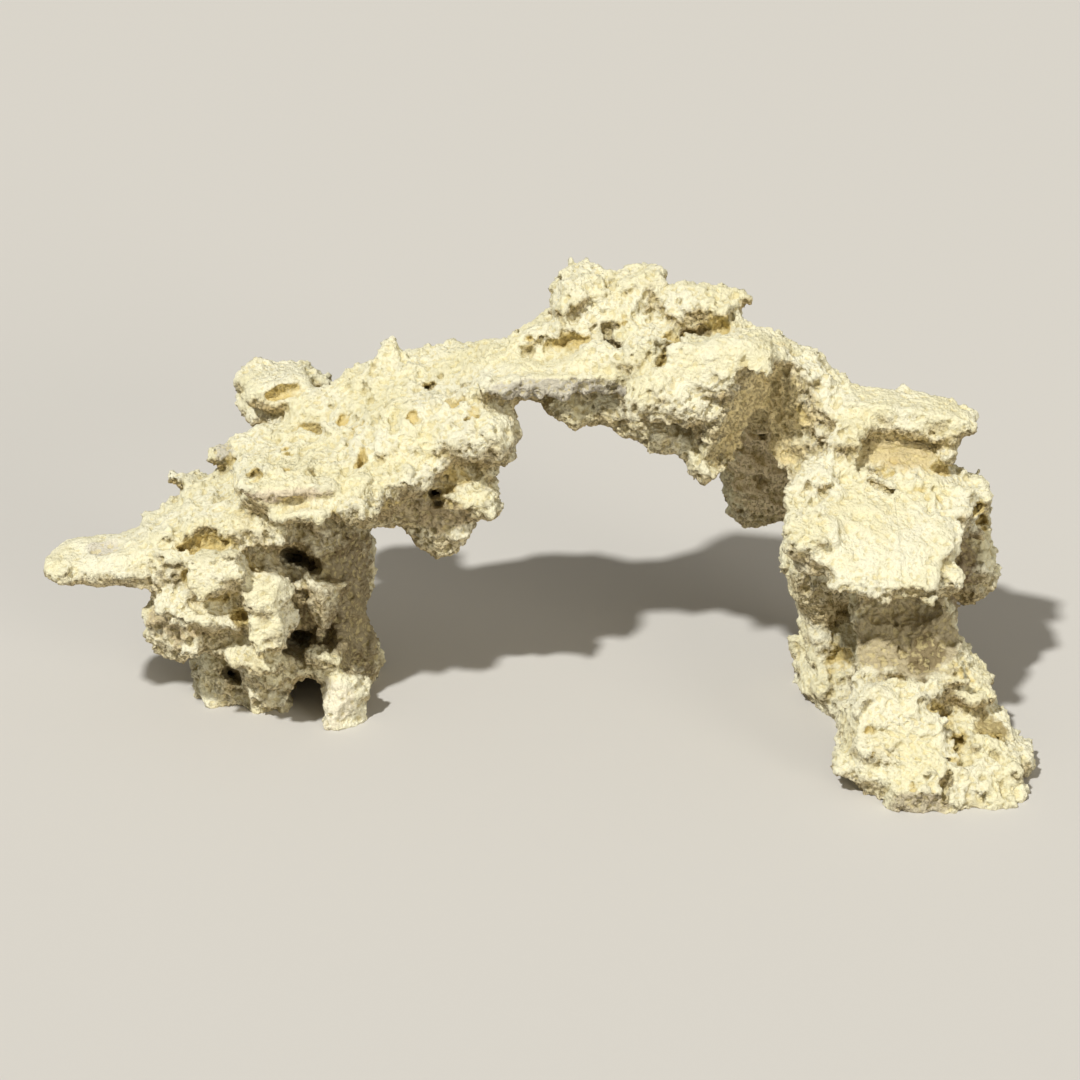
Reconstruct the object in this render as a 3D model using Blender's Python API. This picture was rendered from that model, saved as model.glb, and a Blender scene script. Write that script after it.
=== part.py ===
"""Dry reef rock: one weathered limestone arch that stands on two knobbly legs.

The stone is built up as a sculptor would: rough masses, ledges and knobs are
laid along the arch and fused, hollows are cut out of it, the surface is
weathered, and the feet are worn flat where it stands.

The table of forms is in millimetres. X runs along the arch, left to right,
Y runs from front to back, and Z is up, with the floor at zero.
"""

import math
import random
from typing import NamedTuple

import bmesh
import bpy
from mathutils import Euler, Matrix, Vector, noise

ARCH_LENGTH = 0.44  # metres, from the tip of the tongue to the tip of the right foot
MM = 0.001

FUSING_GRAIN = 2.6 * MM  # voxel that the masses are fused at
CUTTER_GRAIN = 2.2 * MM  # voxel that the hollows are fused at
MOST_TRIANGLES = 9600
CHIPS = 9  # how many planes each mass is broken off at
CHIP_DEPTHS = (0.84, 1.12)  # how near its middle they lie, on the unit block
WORN_FLAT = 1.2 * MM  # how much the feet are worn off at the floor

STONE_COLOUR = (0.78, 0.70, 0.47, 1.0)
STONE_ROUGHNESS = 0.95


class Form(NamedTuple):
    """One mass of stone, or one hollow in it. Places and sizes are in millimetres."""

    name: str
    at: tuple  # centre
    half: tuple  # half sizes along the form's own X, Y and Z
    square: float = 2.6  # 2 is an ellipsoid, and 5 is nearly a block
    turn: tuple = (0, 0, 0)  # degrees about X, Y and Z
    taper: float = 1.0  # how wide the +X end is, as a share of the -X end


class Wear(NamedTuple):
    """One scale of weathering, in millimetres."""

    width: float  # from one lump or layer to the next
    depth: float  # how far they stand out


SWELLS = Wear(26, 2.0)
LUMPS = Wear(15, 4.4)
CRUMBS = Wear(8, 2.4)
LAYERS = Wear(10, 1.0)
BEDDING_WANDER = 6  # how far the layers rise and fall, in millimetres

LEFT_LEG = [
    Form("leg core", (-132, 26, 54), (37, 32, 42), 4.0, (0, 0, 4)),
    Form("rear wall", (-99, 30, 56), (20, 33, 50), 4.0, (0, -2, -6)),
    Form("wall foot", (-92, 22, 14), (17, 21, 19), 3.4, (0, 0, 12)),
    Form("front block", (-142, -8, 58), (28, 20, 26), 4.0, (0, 0, 8)),
    Form("knee", (-165, -14, 50), (13, 16, 16), 3.4, (0, 12, 0)),
    Form("round lump", (-141, -26, 84), (13, 13, 10), 2.6, (0, -14, 0)),
    Form("left lump", (-160, -22, 70), (13, 13, 8), 3.0, (0, -6, 0)),
    Form("ear", (-120, -31, 64), (11, 11, 20), 3.6, (0, -10, 12)),
    Form("ear top", (-119, -30, 76), (10, 10, 8), 3.0, (0, 12, 0)),
    Form("lower ledge", (-150, -29, 60), (18, 11, 6), 3.6, (0, 8, 0)),
    Form("tooth", (-99, -9, 57), (7, 11, 10), 2.6, (0, 20, 0), 0.8),
    Form("lip", (-128, -27, 40), (15, 12, 7), 3.4, (0, 6, 0)),
    Form("heel block", (-122, -12, 26), (16, 14, 12), 3.4),
    Form("shin", (-99, -4, 31), (13, 14, 11), 3.2, (0, 12, 0)),
    Form("toe", (-91, -17, 8), (10, 13, 18), 3.4, (0, 16, 10)),
    Form("rear lobe", (-138, 15, 13), (25, 24, 19), 2.8),
    Form("heel", (-120, -8, 10), (12, 11, 13), 3.0),
    Form("back foot", (-118, 46, 12), (28, 18, 16), 3.0),
    Form("leg back", (-124, 56, 62), (30, 14, 34), 3.2, (0, 0, -8)),
]

TONGUE = [
    Form("tongue", (-188, -12, 80), (37, 23, 12), 2.6, (0, 3, 180), 0.66),
    Form("tongue root", (-160, -8, 85), (26, 26, 13), 3.0, (0, -16, 0)),
    Form("ridge", (-160, 12, 90), (22, 12, 7), 2.8, (0, -14, 0)),
    Form("brow of the leg", (-136, 6, 96), (28, 30, 10), 3.4, (0, -8, 0)),
    Form("spur", (-156, 26, 99), (11, 8, 5), 2.4, (0, 14, 0)),
]

LEFT_SHELF = [
    Form("shelf", (-94, 8, 117), (42, 37, 10), 4.4, (3, -6, 4)),
    Form("shelf skirt", (-92, 16, 106), (36, 32, 10), 3.4, (0, -6, 0)),
    Form("shelf lip", (-112, -23, 122), (21, 13, 5), 3.2, (4, 4, 6)),
    Form("lower lip", (-108, -23, 112), (18, 12, 5), 3.2, (0, -3, 6)),
    Form("lip corner", (-84, -21, 114), (14, 13, 9), 3.2, (0, -8, -10)),
    Form("shelf corner", (-133, 26, 112), (12, 12, 7), 2.8, (0, 8, 20)),
    Form("shelf back", (-98, 46, 125), (21, 18, 12), 3.4, (0, 0, 10)),
    Form("lobe roof", (-117, 72, 133), (23, 15, 5), 3.2, (0, 8, 4)),
    Form("lobe floor", (-119, 66, 119), (17, 17, 7), 2.8, (0, 6, 0)),
    Form("lobe cheek", (-133, 71, 127), (9, 13, 10), 2.6),
]

LEFT_ARM = [
    Form("arm", (-54, 28, 126), (38, 36, 22), 4.0, (0, -10, 4)),
    Form("arm hump", (-50, 18, 138), (22, 20, 10), 3.0, (6, -6, 0)),
    Form("arm front", (-30, 2, 134), (19, 18, 12), 3.6, (0, -6, -8)),
    Form("arm back", (-61, 50, 139), (34, 17, 13), 3.4, (0, -8, 0)),
    Form("back hump", (-38, 52, 148), (15, 13, 8), 2.8, (0, -8, 0)),
    Form("peak", (-69, 54, 148), (6, 6, 8), 2.0, (0, 10, 0), 0.7),
    Form("arm underside", (-73, 18, 98), (18, 25, 14), 3.4),
    Form("front ledge", (-62, -12, 119), (20, 11, 8), 3.6, (0, -8, 6)),
    Form("hanging lobe", (-42, 10, 97), (16, 18, 20), 3.0, (0, 24, 0)),
    Form("hanging shelf", (-30, -4, 107), (14, 15, 6), 3.2, (0, 16, -10)),
    Form("hanging tip", (-47, 12, 82), (12, 13, 11), 2.6, (0, 30, 0)),
    Form("arm cheek", (-20, 14, 126), (10, 18, 15), 3.2),
]

BAR = [
    Form("neck", (-14, 36, 152), (26, 21, 12), 3.4, (0, -8, 0)),
    Form("bar", (6, 20, 157), (35, 18, 6.5), 5.0, (-6, -2, 0)),
    Form("log", (14, 45, 168), (25, 14, 10), 2.8, (0, -20, 4)),
    Form("log end", (31, 40, 177), (11, 12, 9), 2.8, (0, 10, 0)),
    Form("bar root", (20, 30, 142), (24, 17, 9), 3.0, (0, 10, 0)),
]

CROWN = [
    Form("crown", (52, 34, 155), (40, 32, 22), 3.8, (0, 0, 6)),
    Form("left knob", (17, 52, 184), (12, 14, 12), 2.8, (0, 8, 10)),
    Form("knob saddle", (30, 54, 177), (16, 14, 12), 2.8),
    Form("middle knob", (43, 50, 181), (13, 15, 12), 2.8, (0, -6, 0)),
    Form("middle knee", (40, 38, 175), (13, 13, 10), 2.8, (0, 0, 20)),
    Form("right knob", (71, 45, 177), (18, 15, 11), 3.0, (0, 8, 0)),
    Form("right knee", (76, 34, 174), (14, 12, 10), 2.8, (0, 14, 0)),
    Form("right knob spike", (86, 41, 182), (9, 8, 5), 2.2, (0, 6, 0)),
    Form("crown block", (45, 18, 165), (11, 12, 9), 3.6, (0, -10, 14)),
    Form("crown slab", (76, 12, 164), (27, 22, 13), 4.4, (-10, -12, -10)),
    Form("crown front", (57, -2, 153), (19, 14, 10), 4.0, (0, 16, 8)),
    Form("pointed lobe", (82, 4, 140), (17, 14, 24), 3.2, (0, 26, -14)),
    Form("pointed tip", (73, -2, 120), (7, 8, 9), 2.4, (0, 24, 0)),
    Form("under knob", (60, 14, 132), (15, 15, 12), 2.8, (0, 14, 0)),
    Form("small under knob", (38, 22, 135), (13, 14, 9), 2.8, (0, 10, 0)),
]

RIGHT_SHOULDER = [
    Form("shoulder", (110, 24, 149), (25, 26, 16), 3.4, (0, 22, 0)),
    Form("shoulder lump", (97, 26, 158), (14, 16, 12), 2.8),
    Form("shoulder wall", (122, 26, 132), (18, 22, 22), 3.4, (0, 8, 0)),
    Form("hanging back lobe", (105, 84, 92), (20, 18, 40), 3.4, (0, -4, 10)),
    Form("back lobe step", (112, 84, 73), (20, 17, 18), 3.2, (0, 12, 0)),
    Form("back lobe root", (107, 58, 130), (22, 24, 18), 3.2),
]

RIGHT_ARM = [
    Form("beam", (163, 14, 138), (34, 15, 6.5), 5.0, (4, 6, -4)),
    Form("beam root", (142, 16, 137), (16, 18, 12), 3.4, (0, 12, 0)),
    Form("right arm", (152, 24, 116), (26, 25, 22), 3.6),
    Form("beam post", (175, 10, 125), (8, 16, 12), 3.2, (0, 12, 0)),
    Form("under ledge", (168, -1, 115), (17, 12, 6), 3.4, (0, 12, 0)),
    Form("brow", (134, 0, 130), (10, 13, 15), 3.2, (0, 14, 0)),
    Form("side knob", (119, 2, 114), (9, 11, 11), 2.8, (0, 10, 0)),
    Form("flank", (181, 4, 95), (20, 26, 19), 3.4, (0, 12, 0)),
    Form("flank knob", (193, 8, 96), (10, 17, 12), 2.8),
    Form("lower flank", (193, 10, 67), (16, 20, 18), 3.0, (0, -10, 0)),
    Form("plate", (143, -26, 104), (35, 27, 9), 4.4, (22, 2, 4)),
    Form("plate hump", (138, -18, 108), (20, 18, 10), 3.2, (16, 0, 0)),
    Form("plate left", (120, -36, 101), (12, 18, 11), 3.2, (14, -8, 10)),
    Form("plate right", (171, -34, 99), (12, 17, 10), 3.4, (14, 14, -10)),
    Form("plate lip", (154, -48, 90), (25, 12, 7), 3.6, (6, 4, 0)),
    Form("lip tooth", (146, -52, 86), (11, 9, 7), 2.8, (0, 12, 0)),
    Form("plate root", (158, -8, 86), (26, 26, 20), 3.2),
]

RIGHT_LEG = [
    Form("column", (161, -24, 54), (23, 24, 34), 3.2, (0, 0, 10)),
    Form("leg back", (160, 4, 44), (24, 22, 40), 3.2),
    Form("slab root", (127, 6, 66), (17, 20, 16), 3.2, (0, -8, 0)),
    Form("rear slab", (135, 10, 40), (15, 16, 34), 3.8, (0, -4, 8)),
    Form("slab foot", (138, -2, 13), (17, 17, 15), 3.4, (0, 14, 0)),
    Form("slab toe", (146, -16, 6), (12, 12, 10), 3.0),
    Form("rear foot", (142, 24, 12), (24, 20, 16), 3.0),
    Form("shin block", (157, -60, 24), (22, 24, 24), 4.0, (-12, 8, 0)),
    Form("shin ridge", (158, -48, 40), (20, 14, 12), 3.2, (-20, 16, 0)),
    Form("ankle", (178, -38, 43), (14, 19, 13), 3.2, (0, 26, 0)),
    Form("ankle step", (189, -46, 27), (13, 20, 15), 3.2, (0, 20, 0)),
    Form("foot", (184, -58, 14), (22, 25, 19), 3.2, (0, 6, 0)),
    Form("foot lump", (192, -72, 10), (17, 16, 14), 2.8),
    Form("foot knob", (207, -62, 7), (12, 15, 10), 2.6, (0, 20, 0)),
    Form("foot edge", (196, -84, 3), (18, 13, 9), 3.0),
    Form("left toe", (147, -76, 12), (13, 13, 11), 3.0, (0, 14, 0)),
    Form("front toe", (167, -88, 8), (18, 14, 13), 3.2, (0, 6, 0)),
]

HOLLOWS = [
    Form("keyhole", (-108, 10, 68), (12, 34, 6.5), 2.6, (-26, 24, 0)),
    Form("key slot", (-122, -14, 78), (10, 16, 4), 2.4, (0, 10, 0)),
    Form("cave", (-104, -14, 38), (12, 20, 11), 2.6, (0, -14, 0)),
    Form("cave throat", (-111, 12, 28), (8, 24, 5), 2.2, (-18, 0, 0)),
    Form("side window", (-142, -40, 73), (8, 13, 5), 2.6),
    Form("small window", (-132, -40, 64), (5, 18, 4), 2.4, (0, 20, 0)),
    Form("leg slot", (-147, -32, 95), (18, 13, 4.5), 2.6, (0, -8, 0)),
    Form("under cave", (-148, -18, 28), (14, 18, 8), 2.6, (0, 14, 0)),
    Form("foot notch", (-106, -14, 2), (6, 36, 13), 2.8),
    Form("heel pocket", (-115, -20, 17), (6, 10, 6), 2.2),
    Form("lip pocket", (-108, -37, 117), (13, 10, 3), 2.4, (0, 2, 0)),
    Form("shelf undercut", (-102, -32, 99), (26, 13, 5), 2.8, (0, -4, 0)),
    Form("lobe slot", (-111, 58, 129), (20, 14, 3.5), 2.6, (0, -8, 0)),
    Form("arm pocket", (-31, -14, 120), (14, 14, 6), 2.6, (0, -12, 0)),
    Form("notch", (-12, 2, 117), (8, 30, 5), 2.4),
    Form("small pockets", (-45, -14, 113), (5, 12, 7), 2.2, (0, 10, 0)),
    Form("round pit", (-49, 22, 150), (6, 5, 8), 2.0),
    Form("oval pit", (-39, 18, 149), (5, 6, 9), 2.0),
    Form("far pit", (-86, 18, 137), (7, 6, 8), 2.0),
    Form("near pit", (-57, 12, 141), (6, 5, 6), 2.0),
    Form("arm dip", (-29, 8, 144), (9, 6, 5), 2.2),
    Form("tongue dish", (-192, -18, 92), (9, 9, 5), 2.2),
    Form("bar slot", (8, 26, 167), (20, 10, 4.5), 2.6, (0, -20, 0)),
    Form("crown fissure", (60, 26, 178), (19, 8, 9), 2.4, (0, 14, -10)),
    Form("block gap", (32, 20, 171), (4, 14, 9), 2.2, (0, 10, 20)),
    Form("front gap", (56, 6, 170), (4, 12, 9), 2.2, (0, 20, -20)),
    Form("knob gap", (57, 50, 194), (4, 20, 8), 2.2, (0, 10, 0)),
    Form("left gap", (30, 44, 192), (4, 14, 7), 2.2, (0, -10, 0)),
    Form("shoulder recess", (111, -4, 147), (11, 16, 12), 2.8, (0, 10, 0)),
    Form("wall hollow", (104, 0, 128), (9, 18, 12), 2.6),
    Form("under crown", (58, 0, 138), (14, 14, 5), 2.4, (0, 16, 0)),
    Form("under bar", (10, 10, 144), (20, 12, 6), 2.8, (0, 6, 0)),
    Form("beam hollow", (158, -9, 125), (24, 22, 8), 3.0, (0, 4, 0)),
    Form("crack", (156, -22, 115), (22, 14, 3), 2.4, (0, 26, 0)),
    Form("flank slot", (176, -18, 106), (14, 11, 5), 2.4, (0, 30, 0)),
    Form("flank pit", (193, -14, 82), (9, 16, 8), 2.4),
    Form("beam gap", (194, 0, 122), (12, 34, 6), 2.8),
    Form("plate cave", (160, -56, 76), (24, 16, 7), 2.8),
    Form("slab window", (141, -18, 45), (8, 18, 14), 2.6, (0, 8, 0)),
    Form("slab gap", (120, -14, 84), (12, 14, 5), 2.4, (0, -10, 0)),
    Form("ankle pit", (180, -70, 31), (12, 12, 6), 2.4, (0, 24, 0)),
    Form("side pit", (198, -66, 27), (7, 10, 8), 2.2),
    Form("bore", (184, -82, 20), (4.5, 14, 5), 2.0),
    Form("foot cleft", (180, -94, 8), (3, 8, 12), 2.4, (0, 8, 0)),
]

MASSES = LEFT_LEG + TONGUE + LEFT_SHELF + LEFT_ARM + BAR + CROWN
MASSES += RIGHT_SHOULDER + RIGHT_ARM + RIGHT_LEG


def clear_scene():
    """Removes what the start-up scene holds."""
    for obj in list(bpy.data.objects):
        bpy.data.objects.remove(obj)


def chips(name, count):
    """The planes a mass is broken off at, as directions and distances on the unit block."""
    chance = random.Random(name)
    planes = []
    for _ in range(count):
        away = Vector([chance.gauss(0, 1) for _ in range(3)]).normalized()
        planes.append((away, chance.uniform(*CHIP_DEPTHS)))
    return planes


def broken_radius(direction, square, planes):
    """How far a unit block's surface lies from its centre, with the chips broken off."""
    reach = sum(abs(share) ** square for share in direction)
    radius = reach ** (-1.0 / square)
    for away, distance in planes:
        facing = away.dot(direction)
        if facing * radius > distance:
            radius = distance / facing
    return radius


def add_form(mesh, form, chip_count):
    """Adds one chipped, tapered and turned block to a bmesh."""
    made = bmesh.ops.create_icosphere(mesh, subdivisions=4, radius=1.0)["verts"]
    turn = Euler([math.radians(angle) for angle in form.turn]).to_matrix()
    planes = chips(form.name, chip_count)
    for vert in made:
        unit = vert.co.normalized()
        point = unit * broken_radius(unit, form.square, planes)
        narrow = 1.0 + (form.taper - 1.0) * (0.5 + 0.5 * point.x)
        point.y *= narrow
        point.z *= narrow
        point = Vector([point[i] * form.half[i] for i in range(3)])
        vert.co = (turn @ point + Vector(form.at)) * MM


def fused(name, forms, grain, chip_count=0):
    """One closed mesh object of all the forms, fused on a voxel grid."""
    shape = bmesh.new()
    for form in forms:
        add_form(shape, form, chip_count)
    mesh = bpy.data.meshes.new(name)
    shape.to_mesh(mesh)
    shape.free()
    obj = bpy.data.objects.new(name, mesh)
    bpy.context.scene.collection.objects.link(obj)
    refuse(obj, grain)
    return obj


def apply_modifiers(obj):
    """Replaces an object's mesh by what its modifiers make of it."""
    graph = bpy.context.evaluated_depsgraph_get()
    made = bpy.data.meshes.new_from_object(obj.evaluated_get(graph))
    obj.modifiers.clear()
    old = obj.data
    obj.data = made
    bpy.data.meshes.remove(old)


def refuse(obj, grain):
    """Fuses an object's mesh on a voxel grid, which also fills sealed voids."""
    remesh = obj.modifiers.new("Fuse", "REMESH")
    remesh.mode = "VOXEL"
    remesh.voxel_size = grain
    apply_modifiers(obj)


def carve(stone, hollows):
    """Cuts the hollows out of the stone."""
    cut = stone.modifiers.new("Carve", "BOOLEAN")
    cut.operation = "DIFFERENCE"
    cut.object = hollows
    apply_modifiers(stone)
    bpy.data.objects.remove(hollows)


def popcorn(point, width):
    """A field of rounded lumps with sharp creases between them, from about -0.5 to 0.5."""
    nearest = noise.voronoi(point / (width * MM))[0][0]
    return 0.5 - nearest


def strata(point, normal):
    """Bedding layers that stand out of the steep faces, from -1 to 1."""
    height = point.z / MM + BEDDING_WANDER * noise.noise(point / (SWELLS.width * MM))
    return math.sin(height * math.tau / LAYERS.width) * (1.0 - abs(normal.z))


def weathering(point, normal):
    """How far, in metres, weather has moved the surface at a point along its normal."""
    moved = SWELLS.depth * noise.noise(point / (SWELLS.width * MM))
    moved += LUMPS.depth * popcorn(point, LUMPS.width)
    moved += CRUMBS.depth * popcorn(point, CRUMBS.width)
    moved += LAYERS.depth * strata(point, normal)
    return moved * MM


def weather(obj):
    """Roughens the fused masses into lumps and ledges."""
    mesh = obj.data
    moves = [v.normal * weathering(v.co, v.normal) for v in mesh.vertices]
    for vert, move in zip(mesh.vertices, moves):
        vert.co += move


def grown_from(seed):
    """All the vertices that edges join to a seed vertex."""
    piece = [seed]
    seed.tag = True
    for vert in piece:
        for edge in vert.link_edges:
            other = edge.other_vert(vert)
            if not other.tag:
                other.tag = True
                piece.append(other)
    return piece


def keep_largest(obj):
    """Drops crumbs that the cutting left loose."""
    shape = bmesh.new()
    shape.from_mesh(obj.data)
    pieces = [grown_from(vert) for vert in shape.verts if not vert.tag]
    pieces.sort(key=len)
    loose = [vert for piece in pieces[:-1] for vert in piece]
    bmesh.ops.delete(shape, geom=loose, context="VERTS")
    shape.to_mesh(obj.data)
    shape.free()


def thin(obj):
    """Brings the mesh down to flat facets of a few millimetres."""
    triangulate = obj.modifiers.new("Triangulate", "TRIANGULATE")
    triangulate.quad_method = "BEAUTY"
    apply_modifiers(obj)
    decimate = obj.modifiers.new("Thin", "DECIMATE")
    decimate.ratio = MOST_TRIANGLES / len(obj.data.polygons)
    apply_modifiers(obj)


def wear_feet_flat(obj):
    """Cuts the feet off flat at the floor, so that the stone stands on real faces."""
    shape = bmesh.new()
    shape.from_mesh(obj.data)
    cut = bmesh.ops.bisect_plane(
        shape,
        geom=[*shape.verts, *shape.edges, *shape.faces],
        dist=1e-6,
        plane_co=(0, 0, WORN_FLAT),
        plane_no=(0, 0, -1),
        clear_outer=True,
    )
    rim = [e for e in cut["geom_cut"] if isinstance(e, bmesh.types.BMEdge)]
    bmesh.ops.holes_fill(shape, edges=rim)
    bmesh.ops.triangulate(shape, faces=shape.faces[:])
    shape.to_mesh(obj.data)
    shape.free()


def bring_to_size(obj):
    """Scales the stone to its real length, with the origin under its middle on the floor."""
    points = [v.co for v in obj.data.vertices]
    low = Vector([min(p[i] for p in points) for i in range(3)])
    high = Vector([max(p[i] for p in points) for i in range(3)])
    origin = Vector(((low.x + high.x) / 2, (low.y + high.y) / 2, low.z))
    grow = ARCH_LENGTH / (high.x - low.x)
    obj.data.transform(Matrix.Scale(grow, 4) @ Matrix.Translation(-origin))


def stone_material():
    """Dry cream limestone."""
    material = bpy.data.materials.new("dry_reef_stone")
    material.use_nodes = True
    shader = material.node_tree.nodes["Principled BSDF"]
    shader.inputs["Base Color"].default_value = STONE_COLOUR
    shader.inputs["Roughness"].default_value = STONE_ROUGHNESS
    shader.inputs["Metallic"].default_value = 0.0
    return material


def main():
    """Builds the one piece of stone."""
    clear_scene()
    stone = fused("reef_rock", MASSES, FUSING_GRAIN, CHIPS)
    weather(stone)
    carve(stone, fused("hollows", HOLLOWS, CUTTER_GRAIN))
    refuse(stone, FUSING_GRAIN)
    keep_largest(stone)
    thin(stone)
    wear_feet_flat(stone)
    bring_to_size(stone)
    stone.data.materials.clear()
    stone.data.materials.append(stone_material())
    stone.data.shade_smooth()


main()
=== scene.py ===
"""Looks of a dry reef rock arch: one weathered piece of limestone on two knobbly legs.

The skin starts from a copy of the solid. Ledges, lips and knobs are set on it, broken crumbs are strewn
over it, all of it is fused, hollows and bores are cut, and weather gives it its crust, pits and fibres.
The finished skin is parted into pieces that meet on flat, filled cuts inside the stone.

Places and sizes are in millimetres in the solid's own frame: X runs along the arch, Y from the front to
the back, and Z is up, with the floor at zero.
"""

import sys

import logging
import math
import random
from dataclasses import dataclass, field, fields
from enum import Enum
from typing import Iterator, Union

import bmesh
import bpy
import numpy as np
from mathutils import Euler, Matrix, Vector
from mathutils.geometry import delaunay_2d_cdt


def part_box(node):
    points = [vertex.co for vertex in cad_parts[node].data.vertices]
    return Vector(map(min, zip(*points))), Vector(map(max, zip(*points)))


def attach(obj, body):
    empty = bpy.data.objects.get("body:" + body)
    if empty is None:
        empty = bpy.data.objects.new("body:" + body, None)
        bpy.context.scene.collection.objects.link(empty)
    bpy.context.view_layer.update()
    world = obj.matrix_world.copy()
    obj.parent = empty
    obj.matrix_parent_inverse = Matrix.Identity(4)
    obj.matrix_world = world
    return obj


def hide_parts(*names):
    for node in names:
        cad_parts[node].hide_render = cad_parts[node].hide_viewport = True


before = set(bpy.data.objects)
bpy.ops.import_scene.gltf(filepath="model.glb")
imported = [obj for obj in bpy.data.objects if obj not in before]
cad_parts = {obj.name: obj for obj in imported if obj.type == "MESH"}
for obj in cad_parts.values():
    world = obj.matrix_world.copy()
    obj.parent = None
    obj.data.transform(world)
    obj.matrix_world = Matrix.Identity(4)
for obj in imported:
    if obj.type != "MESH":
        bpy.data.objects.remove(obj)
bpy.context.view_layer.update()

MM = 0.001
NODE = "reef_rock"
BODY = "root"
ALL_TRIANGLES = 0  # asks for triangles between all corners of a cut, of which those in the stone are kept
ON_CUT = 1e-7  # metres off a cut within which a corner counts as on it

Point = tuple[float, float, float]
Colour = tuple[float, float, float]
Number = Union[float, "Value"]

log = logging.getLogger("reef_rock")


class Value:
    """A number in a node tree. Python's operators on it add Math nodes."""

    def __init__(self, board: "Board", socket: bpy.types.NodeSocket) -> None:
        """Wraps one output socket of a board's node."""
        self.board = board
        self.socket = socket

    def __add__(self, other: Number) -> "Value":
        """Sum."""
        return self.board.maths("ADD", self, other)

    def __radd__(self, other: Number) -> "Value":
        """Sum, with the number first."""
        return self.board.maths("ADD", other, self)

    def __sub__(self, other: Number) -> "Value":
        """Difference."""
        return self.board.maths("SUBTRACT", self, other)

    def __rsub__(self, other: Number) -> "Value":
        """Difference, with the number first."""
        return self.board.maths("SUBTRACT", other, self)

    def __mul__(self, other: Number) -> "Value":
        """Product."""
        return self.board.maths("MULTIPLY", self, other)

    def __truediv__(self, other: Number) -> "Value":
        """Quotient."""
        return self.board.maths("DIVIDE", self, other)

    def most(self, other: Number) -> "Value":
        """The larger of the two."""
        return self.board.maths("MAXIMUM", self, other)

    def size(self) -> "Value":
        """The number without its sign."""
        return self.board.maths("ABSOLUTE", self, 0.0)

    def past_whole(self) -> "Value":
        """What is left of the number after its whole part."""
        return self.board.maths("FRACT", self, 0.0)

    def step(self, start: float, end: float) -> "Value":
        """Rises smoothly from 0 at start to 1 at end, or falls where end is the smaller.

        Args:
            start: the number at which it leaves 0.
            end: the number at which it reaches 1.

        Returns:
            The share, from 0 to 1.
        """
        rising = start < end
        low, high = (start, end) if rising else (end, start)
        ranged = self.board.node(
            "ShaderNodeMapRange",
            {"interpolation_type": "SMOOTHSTEP"},
            {"Value": self, "From Min": low, "From Max": high},
        )
        share = Value(self.board, ranged.outputs["Result"])
        return share if rising else 1.0 - share


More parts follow.
